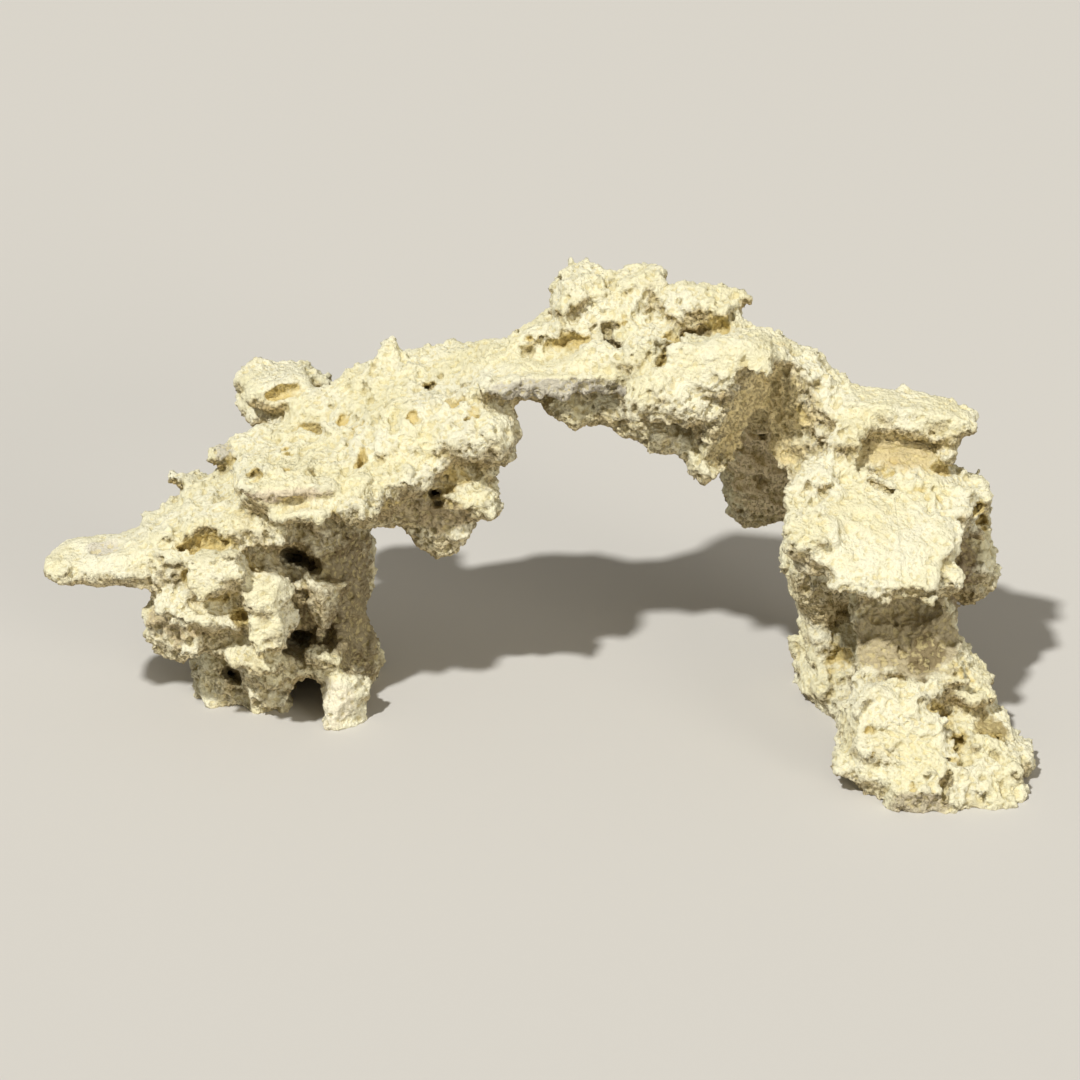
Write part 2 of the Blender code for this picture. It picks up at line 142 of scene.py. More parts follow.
class Board:
    """A node tree that nodes are laid out on, for a material or for shaping a mesh."""

    def __init__(self, tree: bpy.types.NodeTree) -> None:
        """Wraps a tree."""
        self.tree = tree

    def node(self, kind: str, settings: dict | None = None, sockets: dict | None = None) -> bpy.types.Node:
        """Adds one node.

        Args:
            kind: the node's type.
            settings: its properties, set first.
            sockets: what its inputs hold or are linked to, by name or number.

        Returns:
            The node.
        """
        made = self.tree.nodes.new(kind)
        for name, setting in (settings or {}).items():
            setattr(made, name, setting)
        for key, given in (sockets or {}).items():
            self.feed(made.inputs[key], given)
        return made

    def feed(self, socket: bpy.types.NodeSocket, given: object) -> None:
        """Links an output to an input, or sets the input to a plain value."""
        if isinstance(given, Value):
            self.tree.links.new(given.socket, socket)
        elif isinstance(given, bpy.types.NodeSocket):
            self.tree.links.new(given, socket)
        elif socket.type == "RGBA" and len(given) == 3:
            socket.default_value = (*given, 1.0)
        else:
            socket.default_value = given

    def maths(self, operation: str, first: Number, second: Number) -> Value:
        """Adds a Math node on two numbers."""
        made = self.node("ShaderNodeMath", {"operation": operation}, {0: first, 1: second})
        return Value(self, made.outputs[0])

    def mix(self, share: Number, first: object, second: object) -> bpy.types.NodeSocket:
        """Mixes two colours: the first one where the share is 0, and the second one where it is 1."""
        made = self.node("ShaderNodeMix", {"data_type": "RGBA"}, {0: share, 6: first, 7: second})
        return made.outputs[2]

    def vector(self, operation: str, first: object, second: object = (0, 0, 0)) -> bpy.types.NodeSocket:
        """Adds a Vector Math node that gives a vector."""
        made = self.node("ShaderNodeVectorMath", {"operation": operation}, {0: first, 1: second})
        return made.outputs["Vector"]

    def dot(self, first: object, second: object) -> Value:
        """Adds a Vector Math node that gives the dot product of two vectors."""
        made = self.node("ShaderNodeVectorMath", {"operation": "DOT_PRODUCT"}, {0: first, 1: second})
        return Value(self, made.outputs["Value"])

    def scaled(self, vector: object, share: Number) -> bpy.types.NodeSocket:
        """A vector times a number."""
        made = self.node("ShaderNodeVectorMath", {"operation": "SCALE"}, {0: vector, "Scale": share})
        return made.outputs["Vector"]

    def noise(self, place: object, width: float, detail: float = 2.0, rough: float = 0.5) -> Value:
        """Cloudy noise from 0 to 1, with blots about width apart."""
        sockets = {"Vector": place, "Scale": 1.0 / width, "Detail": detail, "Roughness": rough}
        return Value(self, self.node("ShaderNodeTexNoise", {}, sockets).outputs[0])

    def cells(self, place: object, width: float) -> bpy.types.Node:
        """A cell pattern, with cells about width apart."""
        return self.node("ShaderNodeTexVoronoi", {}, {"Vector": place, "Scale": 1.0 / width})

    def inside(self, place: object, at: Point, half: Point) -> Value:
        """How deep a place lies in an egg-shaped stretch: 1 in its middle, 0 at its edge, less outside."""
        across = self.vector("DIVIDE", self.vector("SUBTRACT", place, at), half)
        length = self.node("ShaderNodeVectorMath", {"operation": "LENGTH"}, {0: across})
        return 1.0 - Value(self, length.outputs["Value"])

    def drawn_out(self, place: object, along: Point, share: float) -> bpy.types.NodeSocket:
        """A place pressed together along a direction, which draws a pattern on it out that way.

        Args:
            place: the place in millimetres.
            along: the direction, of length 1.
            share: what is left of the length along it.

        Returns:
            The pressed place.
        """
        reach = self.dot(place, along) * (1.0 - share)
        return self.vector("SUBTRACT", place, self.scaled(along, reach))

    def facets(self, place: object, width: float) -> Value:
        """Broken faces about width across, each tilted its own way, in millimetres up or down."""
        cells = self.cells(place, width)
        across = self.vector("SUBTRACT", place, cells.outputs["Position"])
        tilt = self.vector("SUBTRACT", cells.outputs["Color"], (0.5, 0.5, 0.5))
        return self.dot(across, tilt)

    def domes(self, place: object, width: float) -> Value:
        """Rounded lumps with creases between them, from about -0.5 to 0.5."""
        away = Value(self, self.cells(place, width).outputs["Distance"])
        return 0.45 - away * away * 1.6

    def wandering(self, place: object, width: float, reach: float) -> bpy.types.NodeSocket:
        """A place shifted by noise, so that a pattern on it loses its evenness.

        Args:
            place: the place in millimetres.
            width: from one shift to the next.
            reach: how far it is shifted.

        Returns:
            The shifted place.
        """
        noise = self.node("ShaderNodeTexNoise", {}, {"Vector": place, "Scale": 1.0 / width, "Detail": 2.0})
        centred = self.vector("SUBTRACT", noise.outputs[1], (0.5, 0.5, 0.5))
        return self.vector("ADD", place, self.scaled(centred, 2.0 * reach))


class Shaper(Board):
    """A board that changes a mesh, used as a modifier that is applied at once."""

    def __init__(self, name: str) -> None:
        """Starts an empty shaping tree with a mesh going in and a mesh coming out."""
        tree = bpy.data.node_groups.new(name, "GeometryNodeTree")
        tree.interface.new_socket("Mesh", in_out="INPUT", socket_type="NodeSocketGeometry")
        tree.interface.new_socket("Mesh", in_out="OUTPUT", socket_type="NodeSocketGeometry")
        super().__init__(tree)
        self.mesh = self.node("NodeGroupInput").outputs[0]
        self.normal = self.node("GeometryNodeInputNormal").outputs[0]
        self.metres = self.node("GeometryNodeInputPosition").outputs[0]
        self.place = self.scaled(self.metres, 1.0 / MM)

    def apart(self, vector: object) -> tuple[Value, Value, Value]:
        """The X, Y and Z of a vector."""
        split = self.node("ShaderNodeSeparateXYZ", {}, {0: vector})
        return tuple(Value(self, output) for output in split.outputs)

    def chance(self, low: float, high: float, seed: int) -> Value:
        """A random number for each point."""
        made = self.node("FunctionNodeRandomValue", {"data_type": "FLOAT"}, {2: low, 3: high, "Seed": seed})
        return Value(self, made.outputs[1])

    def chance_vector(self, low: float, high: float, seed: int) -> bpy.types.NodeSocket:
        """A random vector for each point."""
        sockets = {0: (low,) * 3, 1: (high,) * 3, "Seed": seed}
        return self.node("FunctionNodeRandomValue", {"data_type": "FLOAT_VECTOR"}, sockets).outputs[0]

    def store(self, name: str, given: Value) -> None:
        """Keeps a number on each point of the mesh, under a name that a material can read."""
        sockets = {"Geometry": self.mesh, "Name": name, "Value": given}
        self.mesh = self.node("GeometryNodeStoreNamedAttribute", {"domain": "POINT"}, sockets).outputs[0]

    def upward(self) -> Value:
        """How far each point faces up, from -1 to 1."""
        return self.apart(self.normal)[2]

    def blurred(self, given: object, times: int, kind: str = "FLOAT") -> bpy.types.NodeSocket:
        """What is given for each point, evened out with its neighbours a number of times."""
        sockets = {0: given, "Iterations": times}
        return self.node("GeometryNodeBlurAttribute", {"data_type": kind}, sockets).outputs[0]

    def broken(self, faces: "Faces") -> Value:
        """The height of broken faces, in millimetres."""
        return self.facets(self.wandering(self.place, *faces.wander), faces.width) * faces.tilt

    def pitted(self, pits: "Pits") -> tuple[Value, Value]:
        """How deep each point lies in a pit of the pattern, from 0 to 1, and whether that pit is there."""
        cells = self.cells(self.wandering(self.place, *pits.wander), pits.apart)
        chosen = Value(self, cells.outputs["Color"]).step(*pits.chosen)
        return Value(self, cells.outputs["Distance"]).step(*pits.slope), chosen

    def push(self, distance: Value) -> None:
        """Moves each point along its normal by a distance in millimetres."""
        sockets = {"Geometry": self.mesh, "Offset": self.scaled(self.normal, distance * MM)}
        self.mesh = self.node("GeometryNodeSetPosition", {}, sockets).outputs[0]

    def work_on(self, obj: bpy.types.Object) -> None:
        """Runs the finished tree on an object and keeps the result."""
        self.node("NodeGroupOutput", {}, {0: self.mesh})
        modifier = obj.modifiers.new(self.tree.name, "NODES")
        modifier.node_group = self.tree
        apply_modifier(obj, modifier)
        bpy.data.node_groups.remove(self.tree)


@dataclass(frozen=True)
class Faces:
    """Tilted broken faces all over a surface."""

    width: float
    tilt: float
    wander: tuple[float, float]  # width and reach of the noise that shifts their edges


@dataclass(frozen=True)
class Pits:
    """Pits pressed into a surface, each in a cell of its own."""

    apart: float  # from the middle of one to the next
    depth: float
    wander: tuple[float, float]  # width and reach of the noise that shifts their rims
    chosen: tuple[float, float]  # a cell's random number from which it has a trace of a pit, and a whole one
    slope: tuple[float, float]  # from a pit's rim to its floor, as shares of the width of a cell


def points_of(obj: bpy.types.Object) -> np.ndarray:
    """The points of an object's mesh, in metres."""
    points = np.empty(len(obj.data.vertices) * 3, np.float32)
    obj.data.vertices.foreach_get("co", points)
    return points.reshape(-1, 3)


def pick(obj: bpy.types.Object) -> None:
    """Selects one object alone and makes it the active one."""
    bpy.ops.object.select_all(action="DESELECT")
    obj.select_set(True)
    bpy.context.view_layer.objects.active = obj


def apply_modifier(obj: bpy.types.Object, modifier: bpy.types.Modifier) -> None:
    """Applies one modifier of an object."""
    pick(obj)
    bpy.ops.object.modifier_apply(modifier=modifier.name)


def join(name: str, pieces: list[bpy.types.Object]) -> bpy.types.Object:
    """Joins several mesh objects in the first of them.

    Args:
        name: what the joined object is called.
        pieces: the objects, which are used up.

    Returns:
        The joined object.
    """
    bpy.ops.object.select_all(action="DESELECT")
    for piece in pieces:
        piece.select_set(True)
    bpy.context.view_layer.objects.active = pieces[0]
    bpy.ops.object.join()
    pieces[0].name = name
    return pieces[0]


def fuse(obj: bpy.types.Object, grain: float) -> None:
    """Fuses an object's overlapping bodies into one skin on a voxel grid."""
    remesh = obj.modifiers.new("Fuse", "REMESH")
    remesh.mode = "VOXEL"
    remesh.voxel_size = grain * MM
    apply_modifier(obj, remesh)


def keep_largest(obj: bpy.types.Object) -> bpy.types.Object:
    """Drops the loose bits of an object and returns its largest one."""
    pick(obj)
    name = obj.name
    bpy.ops.mesh.separate(type="LOOSE")
    bits = list(bpy.context.selected_objects)
    bits.sort(key=lambda bit: len(bit.data.vertices))
    for bit in bits[:-1]:
        bpy.data.objects.remove(bit)
    bits[-1].name = name
    return bits[-1]


class Cut(Enum):
    """How many chips are broken off a form."""

    NONE = 0
    FEW = 3
    SOME = 6
    MANY = 10


@dataclass(frozen=True)
class Form:
    """One mass of stone that is set on the solid."""

    at: Point  # centre
    half: Point  # half sizes along the form's own X, Y and Z
    turn: Point = (0.0, 0.0, 0.0)  # degrees about X, Y and Z
    bulge: float = 1.3  # 1 is an egg, and 1.7 is a brick
    chips: Cut = Cut.SOME
    foot: float = 1.0  # how wide its lower end is, as a share of its upper end

    def planes(self, name: str) -> list[tuple[Vector, float]]:
        """The planes that square and chip the form, as directions and distances from its middle."""
        chance = random.Random(name)
        planes = []
        if self.bulge > 1.0:
            for axis in range(3):
                for side in (-1, 1):
                    away = Vector((0, 0, 0))
                    away[axis] = side
                    planes.append((away, 1.0))
        for _ in range(self.chips.value):
            away = Vector([chance.gauss(0, 1) for _ in range(3)]).normalized()
            planes.append((away, chance.uniform(0.82, 1.05)))
        return planes

    def build(self, name: str) -> bpy.types.Object:
        """Models the form.

        Args:
            name: the form's name, which also settles where it is chipped.

        Returns:
            The object, with its place in its mesh.
        """
        bpy.ops.mesh.primitive_ico_sphere_add(subdivisions=3, radius=self.bulge)
        made = bpy.context.active_object
        made.name = name
        bpy.ops.object.mode_set(mode="EDIT")
        for away, distance in self.planes(name):
            bpy.ops.mesh.select_all(action="SELECT")
            bpy.ops.mesh.bisect(plane_co=away * distance, plane_no=away, use_fill=True, clear_outer=True)
        bpy.ops.object.mode_set(mode="OBJECT")
        for vertex in made.data.vertices:
            narrow = self.foot + (1.0 - self.foot) * (0.5 + 0.5 * vertex.co.z)
            vertex.co.x *= narrow
            vertex.co.y *= narrow
        made.scale = Vector(self.half) * MM
        made.rotation_euler = Euler([math.radians(angle) for angle in self.turn])
        made.location = Vector(self.at) * MM
        bpy.ops.object.transform_apply(location=True, rotation=True, scale=True)
        return made


@dataclass(frozen=True)
class Hollow(Form):
    """One hollow, bore, slot or crack that is cut into the stone."""

    bulge: float = 1.0
    chips: Cut = Cut.FEW
    stained: bool = True  # whether its walls get a painted amber glow of bounced light


@dataclass(frozen=True)
class Bare(Hollow):
    """A hollow whose walls have the colour of the stone around it."""

    stained: bool = False


@dataclass
class Stretch:
    """One stretch of the arch: the masses that sharpen it and the hollows in it."""

    def parts(self) -> Iterator[tuple[str, Form]]:
        """Each form of the stretch with its name."""
        for entry in fields(self):
            yield f"{type(self).__name__}_{entry.name}", getattr(self, entry.name)

    def masses(self) -> list[bpy.types.Object]:
        """Models the stretch's masses."""
        return [form.build(name) for name, form in self.parts() if not isinstance(form, Hollow)]

    def hollows(self) -> list[bpy.types.Object]:
        """Models the cutters of the stretch's hollows."""
        return [form.build(name) for name, form in self.parts() if isinstance(form, Hollow)]

    def stained(self) -> list[bpy.types.Object]:
        """Models the stretch's hollows whose walls get a painted amber glow once more, to tell where they were
        cut.
        """
        return [form.build(name) for name, form in self.parts() if isinstance(form, Hollow) and form.stained]


@dataclass
class LeftLeg(Stretch):
    """The left leg below the shelf, with the pointed tongue."""

    round_lump: Form = Form((-138, -35, 83), (12.5, 9.5, 9.5), (-10, -10, 0), 1.5, Cut.FEW)
    step_lump: Form = Form((-124, -19, 95), (14, 10, 6), (-12, 12, 0), 1.3)
    low_fill: Form = Form((-136, -28, 68), (13, 7, 8))
    left_lump: Form = Form((-157, -31, 67), (8.5, 7, 6), (-15, -6, 0))
    ear: Form = Form((-117, -36, 74), (10.5, 8, 8.5), (-16, 2, 8), 1.4, Cut.SOME)
    ear_stem: Form = Form((-118, -37, 61), (7.5, 8, 14), (-15, -2, 4), 1.4, Cut.SOME)
    ledge: Form = Form((-145, -37, 61.5), (17, 8, 3), (0, 6, 0), 1.5, Cut.MANY)
    drip: Form = Form((-153, -34, 51), (4, 5, 6), chips=Cut.MANY)
    lip: Form = Form((-124, -36, 38), (11, 7, 3.6), (0, 7, 0), 1.4, Cut.MANY)
    key_wall: Form = Form((-101, 8, 68), (16, 13, 15), (0, 0, -6), 1.5)
    tooth: Form = Form((-94, -15, 56), (8, 8, 11), (-4, 8, 45), 1.7, Cut.NONE, 0.3)
    shin_lump: Form = Form((-96, -17, 31), (8, 7, 4.5), (-14, 24, 0), 1.3)
    toe: Form = Form((-88, -16, 9), (9, 8.5, 12), (-10, 18, 34), 1.65, Cut.NONE)
    heel_tip: Form = Form((-117, -15, 9), (8, 5, 4))
    tongue_tip: Form = Form((-205, -16, 77), (12, 14, 6), (0, 4, 0), 1.2)

    amber_slot: Hollow = Hollow((-146, -25, 90.5), (14.5, 5, 3.8), (-26, -16, 0))
    near_hollow: Hollow = Hollow((-152, -35, 79), (3.4, 4.5, 3.8), (-26, -10, 0))
    side_window: Hollow = Hollow((-139, -37, 72), (7.5, 5.5, 3.4), (-26, 4, 0))
    ledge_hole: Hollow = Hollow((-129, -38, 62.5), (3.4, 10, 3), (-26, 10, 0))
    key_recess: Hollow = Hollow((-120, -22, 80), (10, 12, 4), (-26, -8, 0))
    keyhole: Bare = Bare((-105, -4, 72.5), (10, 34, 4.2), (-26, 28, 0), chips=Cut.NONE)
    cave: Bare = Bare((-109, -10, 33), (7, 24, 4.8), (-26, -14, 0))
    under_hole: Bare = Bare((-137, -12, 18), (6.5, 18, 3.4), (-26, 24, 0))
    heel_cut: Bare = Bare((-119, -24, 0), (13, 13, 5))
    notch: Bare = Bare((-104, -10, 1), (9, 36, 13.5), bulge=1.2)
    tongue_dish: Bare = Bare((-190, -18, 88), (10, 7, 4), (-10, -6, 0), chips=Cut.NONE)
    side_trim: Bare = Bare((-181, -20, 57), (6.5, 25, 13), (0, -10, 0))


@dataclass
class LeftArm(Stretch):
    """The shelf with its ring lobe, and the arm up to the bar."""

    upper_lip: Form = Form((-106, -25, 118.5), (20, 8, 4.5), (-8, 4, 6), 1.4, Cut.FEW)
    lower_lip: Form = Form((-101, -31, 109.5), (15, 8, 3.6), (-10, -3, 6), 1.4, Cut.MANY)
    spur: Form = Form((-158, 22, 101), (9, 4, 2.8), (0, 10, 0), 1.0)
    grey_tip: Form = Form((-141, 22, 114), (6, 6, 3.4))
    ring_lobe: Form = Form((-117, 53, 131), (15, 11, 7.5), (0, -6, 0), 1.2, Cut.FEW)
    arm_edge: Form = Form((-31, -4, 133), (10, 7, 6), (0, -8, -6), 1.4, Cut.MANY)
    hanging_lip: Form = Form((-31, -10, 105), (10, 7, 3.4), (0, 14, -8), 1.4, Cut.MANY)
    peak: Form = Form((-66, 50, 149), (3, 3, 9), (0, 8, 0), 1.4, Cut.FEW, 2.4)

    mouth: Hollow = Hollow((-103, -37, 117), (8, 4.5, 1.9), (-20, 3, 0))
    lobe_slot: Hollow = Hollow((-109, 43, 136), (14.5, 5, 3.6), (-24, -14, 0))
    lobe_dish: Bare = Bare((-119, 61, 138), (6, 5, 4))
    top_slit: Hollow = Hollow((-111, 9, 124), (1.6, 5, 5))
    slant_slit: Hollow = Hollow((-101, 24, 126), (6.5, 3, 5.2), (0, 0, -40))
    round_pit: Hollow = Hollow((-87, 20, 132.5), (3.5, 5.2, 4.4))
    second_pit: Hollow = Hollow((-79, 11, 134), (3.4, 5, 4.6))
    corner_pit: Hollow = Hollow((-53, 0, 141.5), (3, 5, 4), (0, 0, 20))
    oval_pit: Hollow = Hollow((-35.5, 8, 148.5), (4.4, 7.2, 5.4), (20, 0, 0), chips=Cut.NONE)
    edge_recess: Hollow = Hollow((-27, -4, 144.5), (5.5, 4.5, 2.8), (10, 10, 0))
    dark_pit: Hollow = Hollow((-47, 25, 146), (2.6, 3, 6))
    lip_pit: Hollow = Hollow((-108, -20, 125.5), (3.4, 3.4, 3.6))
    groove: Hollow = Hollow((-76, -11, 126.5), (2, 8, 5), (20, 0, 0))
    worn_spot: Hollow = Hollow((-123, -21, 124.5), (4, 4.5, 3))
    tip_pit: Hollow = Hollow((-136, 15, 112.5), (2.6, 3.4, 3))
    skirt_notch: Hollow = Hollow((-63, -20, 107), (4, 6, 2.6), (-20, 0, 0))
    skirt_hole: Hollow = Hollow((-86, -31, 108), (4.5, 6, 3), (-20, -10, 0))
    front_recess: Hollow = Hollow((-41, -9, 107), (7.5, 5, 4.4), (-26, 0, 0))
    bore_high: Bare = Bare((-44, -6, 108), (1.7, 12, 1.7), (-26, 0, 0), chips=Cut.NONE)
    bore_low: Bare = Bare((-43, -8, 102.5), (1.5, 12, 1.5), (-26, 0, 0), chips=Cut.NONE)
    arm_pocket: Hollow = Hollow((-32, -8, 117), (9, 6, 2.6), (-26, -8, 0))


@dataclass
class Crown(Stretch):
    """The bar, the knobs and the pointed lobe."""

    bar: Form = Form((8, 8.5, 155.6), (32, 9, 4.9), (0, -2.5, 0), 1.62, Cut.FEW)
    log: Form = Form((14, 31, 170), (26, 7, 5.5), (0, -14, 4), 1.12, Cut.FEW)
    slot_floor: Form = Form((13, 30, 162.5), (15, 8, 6), (0, -12, 0), 1.4)
    left_knob: Form = Form((20, 41, 182), (12, 11, 11), (0, 6, 20), 1.35, Cut.MANY)
    spike: Form = Form((34, 50, 187), (3, 3, 4.5), chips=Cut.MANY)
    middle_knob: Form = Form((47, 46, 183), (12, 11, 10.5), (0, 0, 0), 1.25, Cut.MANY)
    right_knob: Form = Form((73, 34, 179), (15, 11, 10.5), (0, 4, 0), 1.15, Cut.FEW)
    right_spike: Form = Form((90, 36, 183), (6, 5, 3.2), (0, 8, 0), 1.1)
    saddle: Form = Form((50, 25, 169), (14, 10, 6), (0, 8, 0), 1.2, Cut.MANY)
    block: Form = Form((46, 9, 165), (8, 7, 8), (0, -8, 20), 1.55, Cut.FEW)
    slab: Form = Form((80, 0, 165), (23, 10, 10), (-14, 4, -8), 1.5, Cut.FEW)
    front: Form = Form((57, -6, 152), (18, 9, 9), (-8, 10, 12), 1.35, Cut.MANY)
    under_knob: Form = Form((20, 16, 139), (14, 9, 8), (0, 8, 0), 1.1)

    amber_slot: Hollow = Hollow((13, 22, 167), (10, 5, 3.2), (-24, -18, 0))
    neck_dip: Hollow = Hollow((-4, 23, 169), (4.5, 4, 2.4), (-10, 4, 0))
    left_gap: Bare = Bare((34, 38, 190), (2, 8, 5), (-10, 10, 0))
    right_gap: Bare = Bare((61, 40, 191), (2.4, 10, 6), (-10, -6, 0))
    fissure: Hollow = Hollow((39, 23, 180), (2, 4, 5), (-10, 16, 0), chips=Cut.MANY)
    long_fissure: Hollow = Hollow((58, 16, 174), (10, 6, 2.6), (-26, 20, 0))
    amber_gap: Hollow = Hollow((57, 1, 165), (3, 5, 5.5), (-10, 10, 0), chips=Cut.MANY)
    dark_spot: Hollow = Hollow((37, -1, 167), (1.8, 3.5, 3), (-20, 0, 0), chips=Cut.MANY)
    right_notch: Hollow = Hollow((82, 21, 176), (6, 5, 3.6), (-20, 16, 0))
    under_pit: Hollow = Hollow((17, 11, 138), (4, 5, 2.6), (-20, 0, 0))
    pore_patch: Hollow = Hollow((60, -14, 139), (9, 6, 4.5), (-10, 10, 0))
    lobe_face: Bare = Bare((100.5, -11, 139.5), (18, 27, 25), (0, 16, -38.6), 1.4, Cut.NONE)


@dataclass
class RightArm(Stretch):
    """The shoulder, the beam and the overhanging plate."""

    beam: Form = Form((165, 11, 140), (30, 11, 4.6), (0, 7, -4), 1.62, Cut.FEW)
    brow: Form = Form((134, -2, 129), (8.5, 8, 13), (-12, 14, 0), 1.4)
    post: Form = Form((182, 6, 124), (5, 8, 8), (0, 10, 0), 1.4)
    recess_floor: Form = Form((158, 10.4, 118.3), (22, 10, 12), (-37, 8, 0), 1.6, Cut.FEW)
    ledge: Form = Form((170, -2, 114), (14, 8, 4), (-6, 14, 0), 1.5, Cut.MANY)
    side_lump: Form = Form((122, -13, 117), (9, 8, 8.5), (-10, -10, 0), 1.3, Cut.FEW)
    plate: Form = Form((143, -33, 103), (33, 27, 8), (27, 2, 4), 1.35, Cut.FEW)
    plate_lip: Form = Form((150, -53, 91), (23, 12, 7), (30, 4, 0), 1.35, Cut.MANY)
    plate_end: Form = Form((178, -47, 85), (6.5, 7, 9), (20, 0, 0), chips=Cut.MANY)
    plate_knee: Form = Form((119, -46, 105), (12, 9, 8), (20, -8, 0), 1.3)
    plate_ridge: Form = Form((152, -42, 103), (22, 6, 4.5), (20, 12, -14), 1.3, Cut.MANY)
    lip_left: Form = Form((134, -59, 91), (8, 5, 5), (10, 12, 0), 1.3, Cut.MANY)
    lip_middle: Form = Form((149, -62, 87), (7, 5, 4.5), (10, 0, 0), 1.3, Cut.MANY)
    lip_right: Form = Form((165, -58, 90), (8, 6, 5), (10, 8, 0), 1.3, Cut.MANY)
    flank_lump: Form = Form((193, -2, 105), (9, 11, 6), (0, 10, 0), chips=Cut.MANY)
    flank_fill: Form = Form((183, -20, 103), (8, 7, 6), (-10, 20, 0), chips=Cut.MANY)

    beam_cut: Bare = Bare((188.2, 10, 146.6), (17, 24, 6), (0, 25, 0), 1.7, Cut.NONE)
    inner_recess: Hollow = Hollow((158, -1, 116.5), (6.5, 5, 4), (-26, 10, 0))
    crack: Bare = Bare((154, -17, 113.5), (12, 5, 1.3), (-26, 30, 0), chips=Cut.NONE)
    amber_hollow: Hollow = Hollow((172, -14, 107), (10, 6, 3), (-26, 32, 0))
    brown_hollow: Hollow = Hollow((180, -1, 117), (5, 5, 3), (-20, 30, 0))
    plate_recess: Bare = Bare((165, -65, 87), (7, 4, 2.2), (-10, 4, 0))
    under_plate: Bare = Bare((156, -47, 70), (21, 14, 8), (-10, 0, 0), 1.2, Cut.MANY)
    flank_hole: Hollow = Hollow((199, -7, 94), (3.6, 8, 5), (-20, -10, 0))
    flank_pit: Hollow = Hollow((195, -12, 103), (2.6, 6, 2.6))
    lip_cave: Bare = Bare((187, -44, 88), (6, 11, 8), (-20, 10, 0), chips=Cut.MANY)
    side_groove: Bare = Bare((125.5, -24, 117), (11, 1.9, 4), (0, -11, 43), chips=Cut.MANY)
    flank_cave: Bare = Bare((189, -14, 82), (6, 12, 8), (-20, 10, 0))
    column_back: Bare = Bare((155, -58, 57), (26, 11, 15), (-20, 0, 0), 1.3, Cut.MANY)
    shoulder_recess: Bare = Bare((113, 5, 149), (8, 6, 8), (0, 10, 0))
    shoulder_deep: Hollow = Hollow((117, 5, 138), (3, 7, 5), (-20, 14, 0))
    lobe_hole_high: Bare = Bare((107, 62, 104), (3, 9, 3))
    lobe_hole_low: Bare = Bare((106, 62, 79), (3, 7, 4))
    lobe_hole_edge: Bare = Bare((97, 64, 64), (3, 7, 2.4))


@dataclass
class RightLeg(Stretch):
    """The column, the rear slab and the right foot."""

    shin_face: Form = Form((155, -66, 25), (20, 18, 18), (-32, 6, 6), 1.5, Cut.FEW)
    shin_top: Form = Form((158, -64, 38), (15, 9, 6), (-30, 10, 0), 1.15, Cut.FEW)
    ankle_ridge: Form = Form((182, -50, 44), (7, 12, 8), (-20, 26, 0), chips=Cut.MANY)
    foot_lump: Form = Form((198, -76, 10), (13, 14, 9), chips=Cut.MANY)
    foot_nub: Form = Form((212, -70, 9), (6, 7, 5), chips=Cut.MANY)
    left_toe: Form = Form((139, -78, 13), (9, 10, 7), (0, 12, 0), chips=Cut.MANY)

    slab_hole: Bare = Bare((121, -13, 62), (3.4, 3, 2.6), (-20, -14, 0))
    window: Hollow = Hollow((134, -13, 28), (9.5, 7, 6.5), (-26, -6, 0), chips=Cut.MANY)
    window_top: Bare = Bare((138, -9, 38), (4, 7, 7), (-26, 6, 0))
    ankle_trough: Hollow = Hollow((189, -55, 46), (3, 8, 8), (-26, -24, 0))
    amber_pit: Hollow = Hollow((150, -84, 38), (4.8, 4, 2.2), (-26, 0, 0), chips=Cut.MANY)
    small_pit: Hollow = Hollow((143, -85, 32), (1.9, 2.6, 1.9))
    big_pit: Hollow = Hollow((176, -67, 30), (8.5, 9, 3.2), (-26, 18, 0))
    bore: Hollow = Hollow((184, -74, 20), (3.4, 9, 3.4), (-34, 0, -20), chips=Cut.NONE)
    bore_trail: Hollow = Hollow((179, -80, 14), (2.4, 6, 5), (-26, 30, 0))
    dish: Hollow = Hollow((198.5, -70, 19), (5, 5, 9), (-16, 12, 0), chips=Cut.NONE)
    low_pit: Hollow = Hollow((147, -90, 21), (5, 3, 1.9), (-26, 8, 0), chips=Cut.MANY)
    toe_pit: Hollow = Hollow((162, -101, 13), (3.4, 2.4, 2.2), (-26, 16, 0), chips=Cut.MANY)
    cleft: Bare = Bare((177, -96, 15), (2, 6, 12), (-20, 6, 0), chips=Cut.MANY)


@dataclass(frozen=True)
class Worn:
    """Where the stone is worn smoother, so that its forms keep their faces."""

    stretches: tuple[tuple[Point, Point], ...] = (  # middles and half sizes
        ((-195, -15, 82), (36, 32, 26)),
        ((-138, -36, 83), (16, 14, 14)),
        ((-117, -38, 67), (15, 15, 28)),
        ((-94, -16, 54), (13, 13, 18)),
        ((-89, -24, 10), (15, 15, 18)),
        ((-106, -30, 115), (28, 14, 14)),
        ((-117, 52, 132), (28, 24, 15)),
        ((8, 10, 159), (40, 14, 10)),
        ((80, -4, 168), (32, 20, 17)),
        ((90, 2, 146), (26, 26, 34)),
        ((165, 8, 143), (48, 24, 13)),
        ((160, 10, 124), (26, 14, 13)),
        ((146, -38, 100), (46, 36, 22)),
        ((120, -12, 50), (22, 20, 42)),
        ((157, -84, 26), (24, 18, 22)),
    )

    def calm(self, shaper: Shaper) -> Value:
        """How worn each point is, from 0 to 1."""
        most = None
        for at, half in self.stretches:
            near = shaper.inside(shaper.place, at, half).step(0.0, 0.4)
            most = near if most is None else most.most(near)
        return most


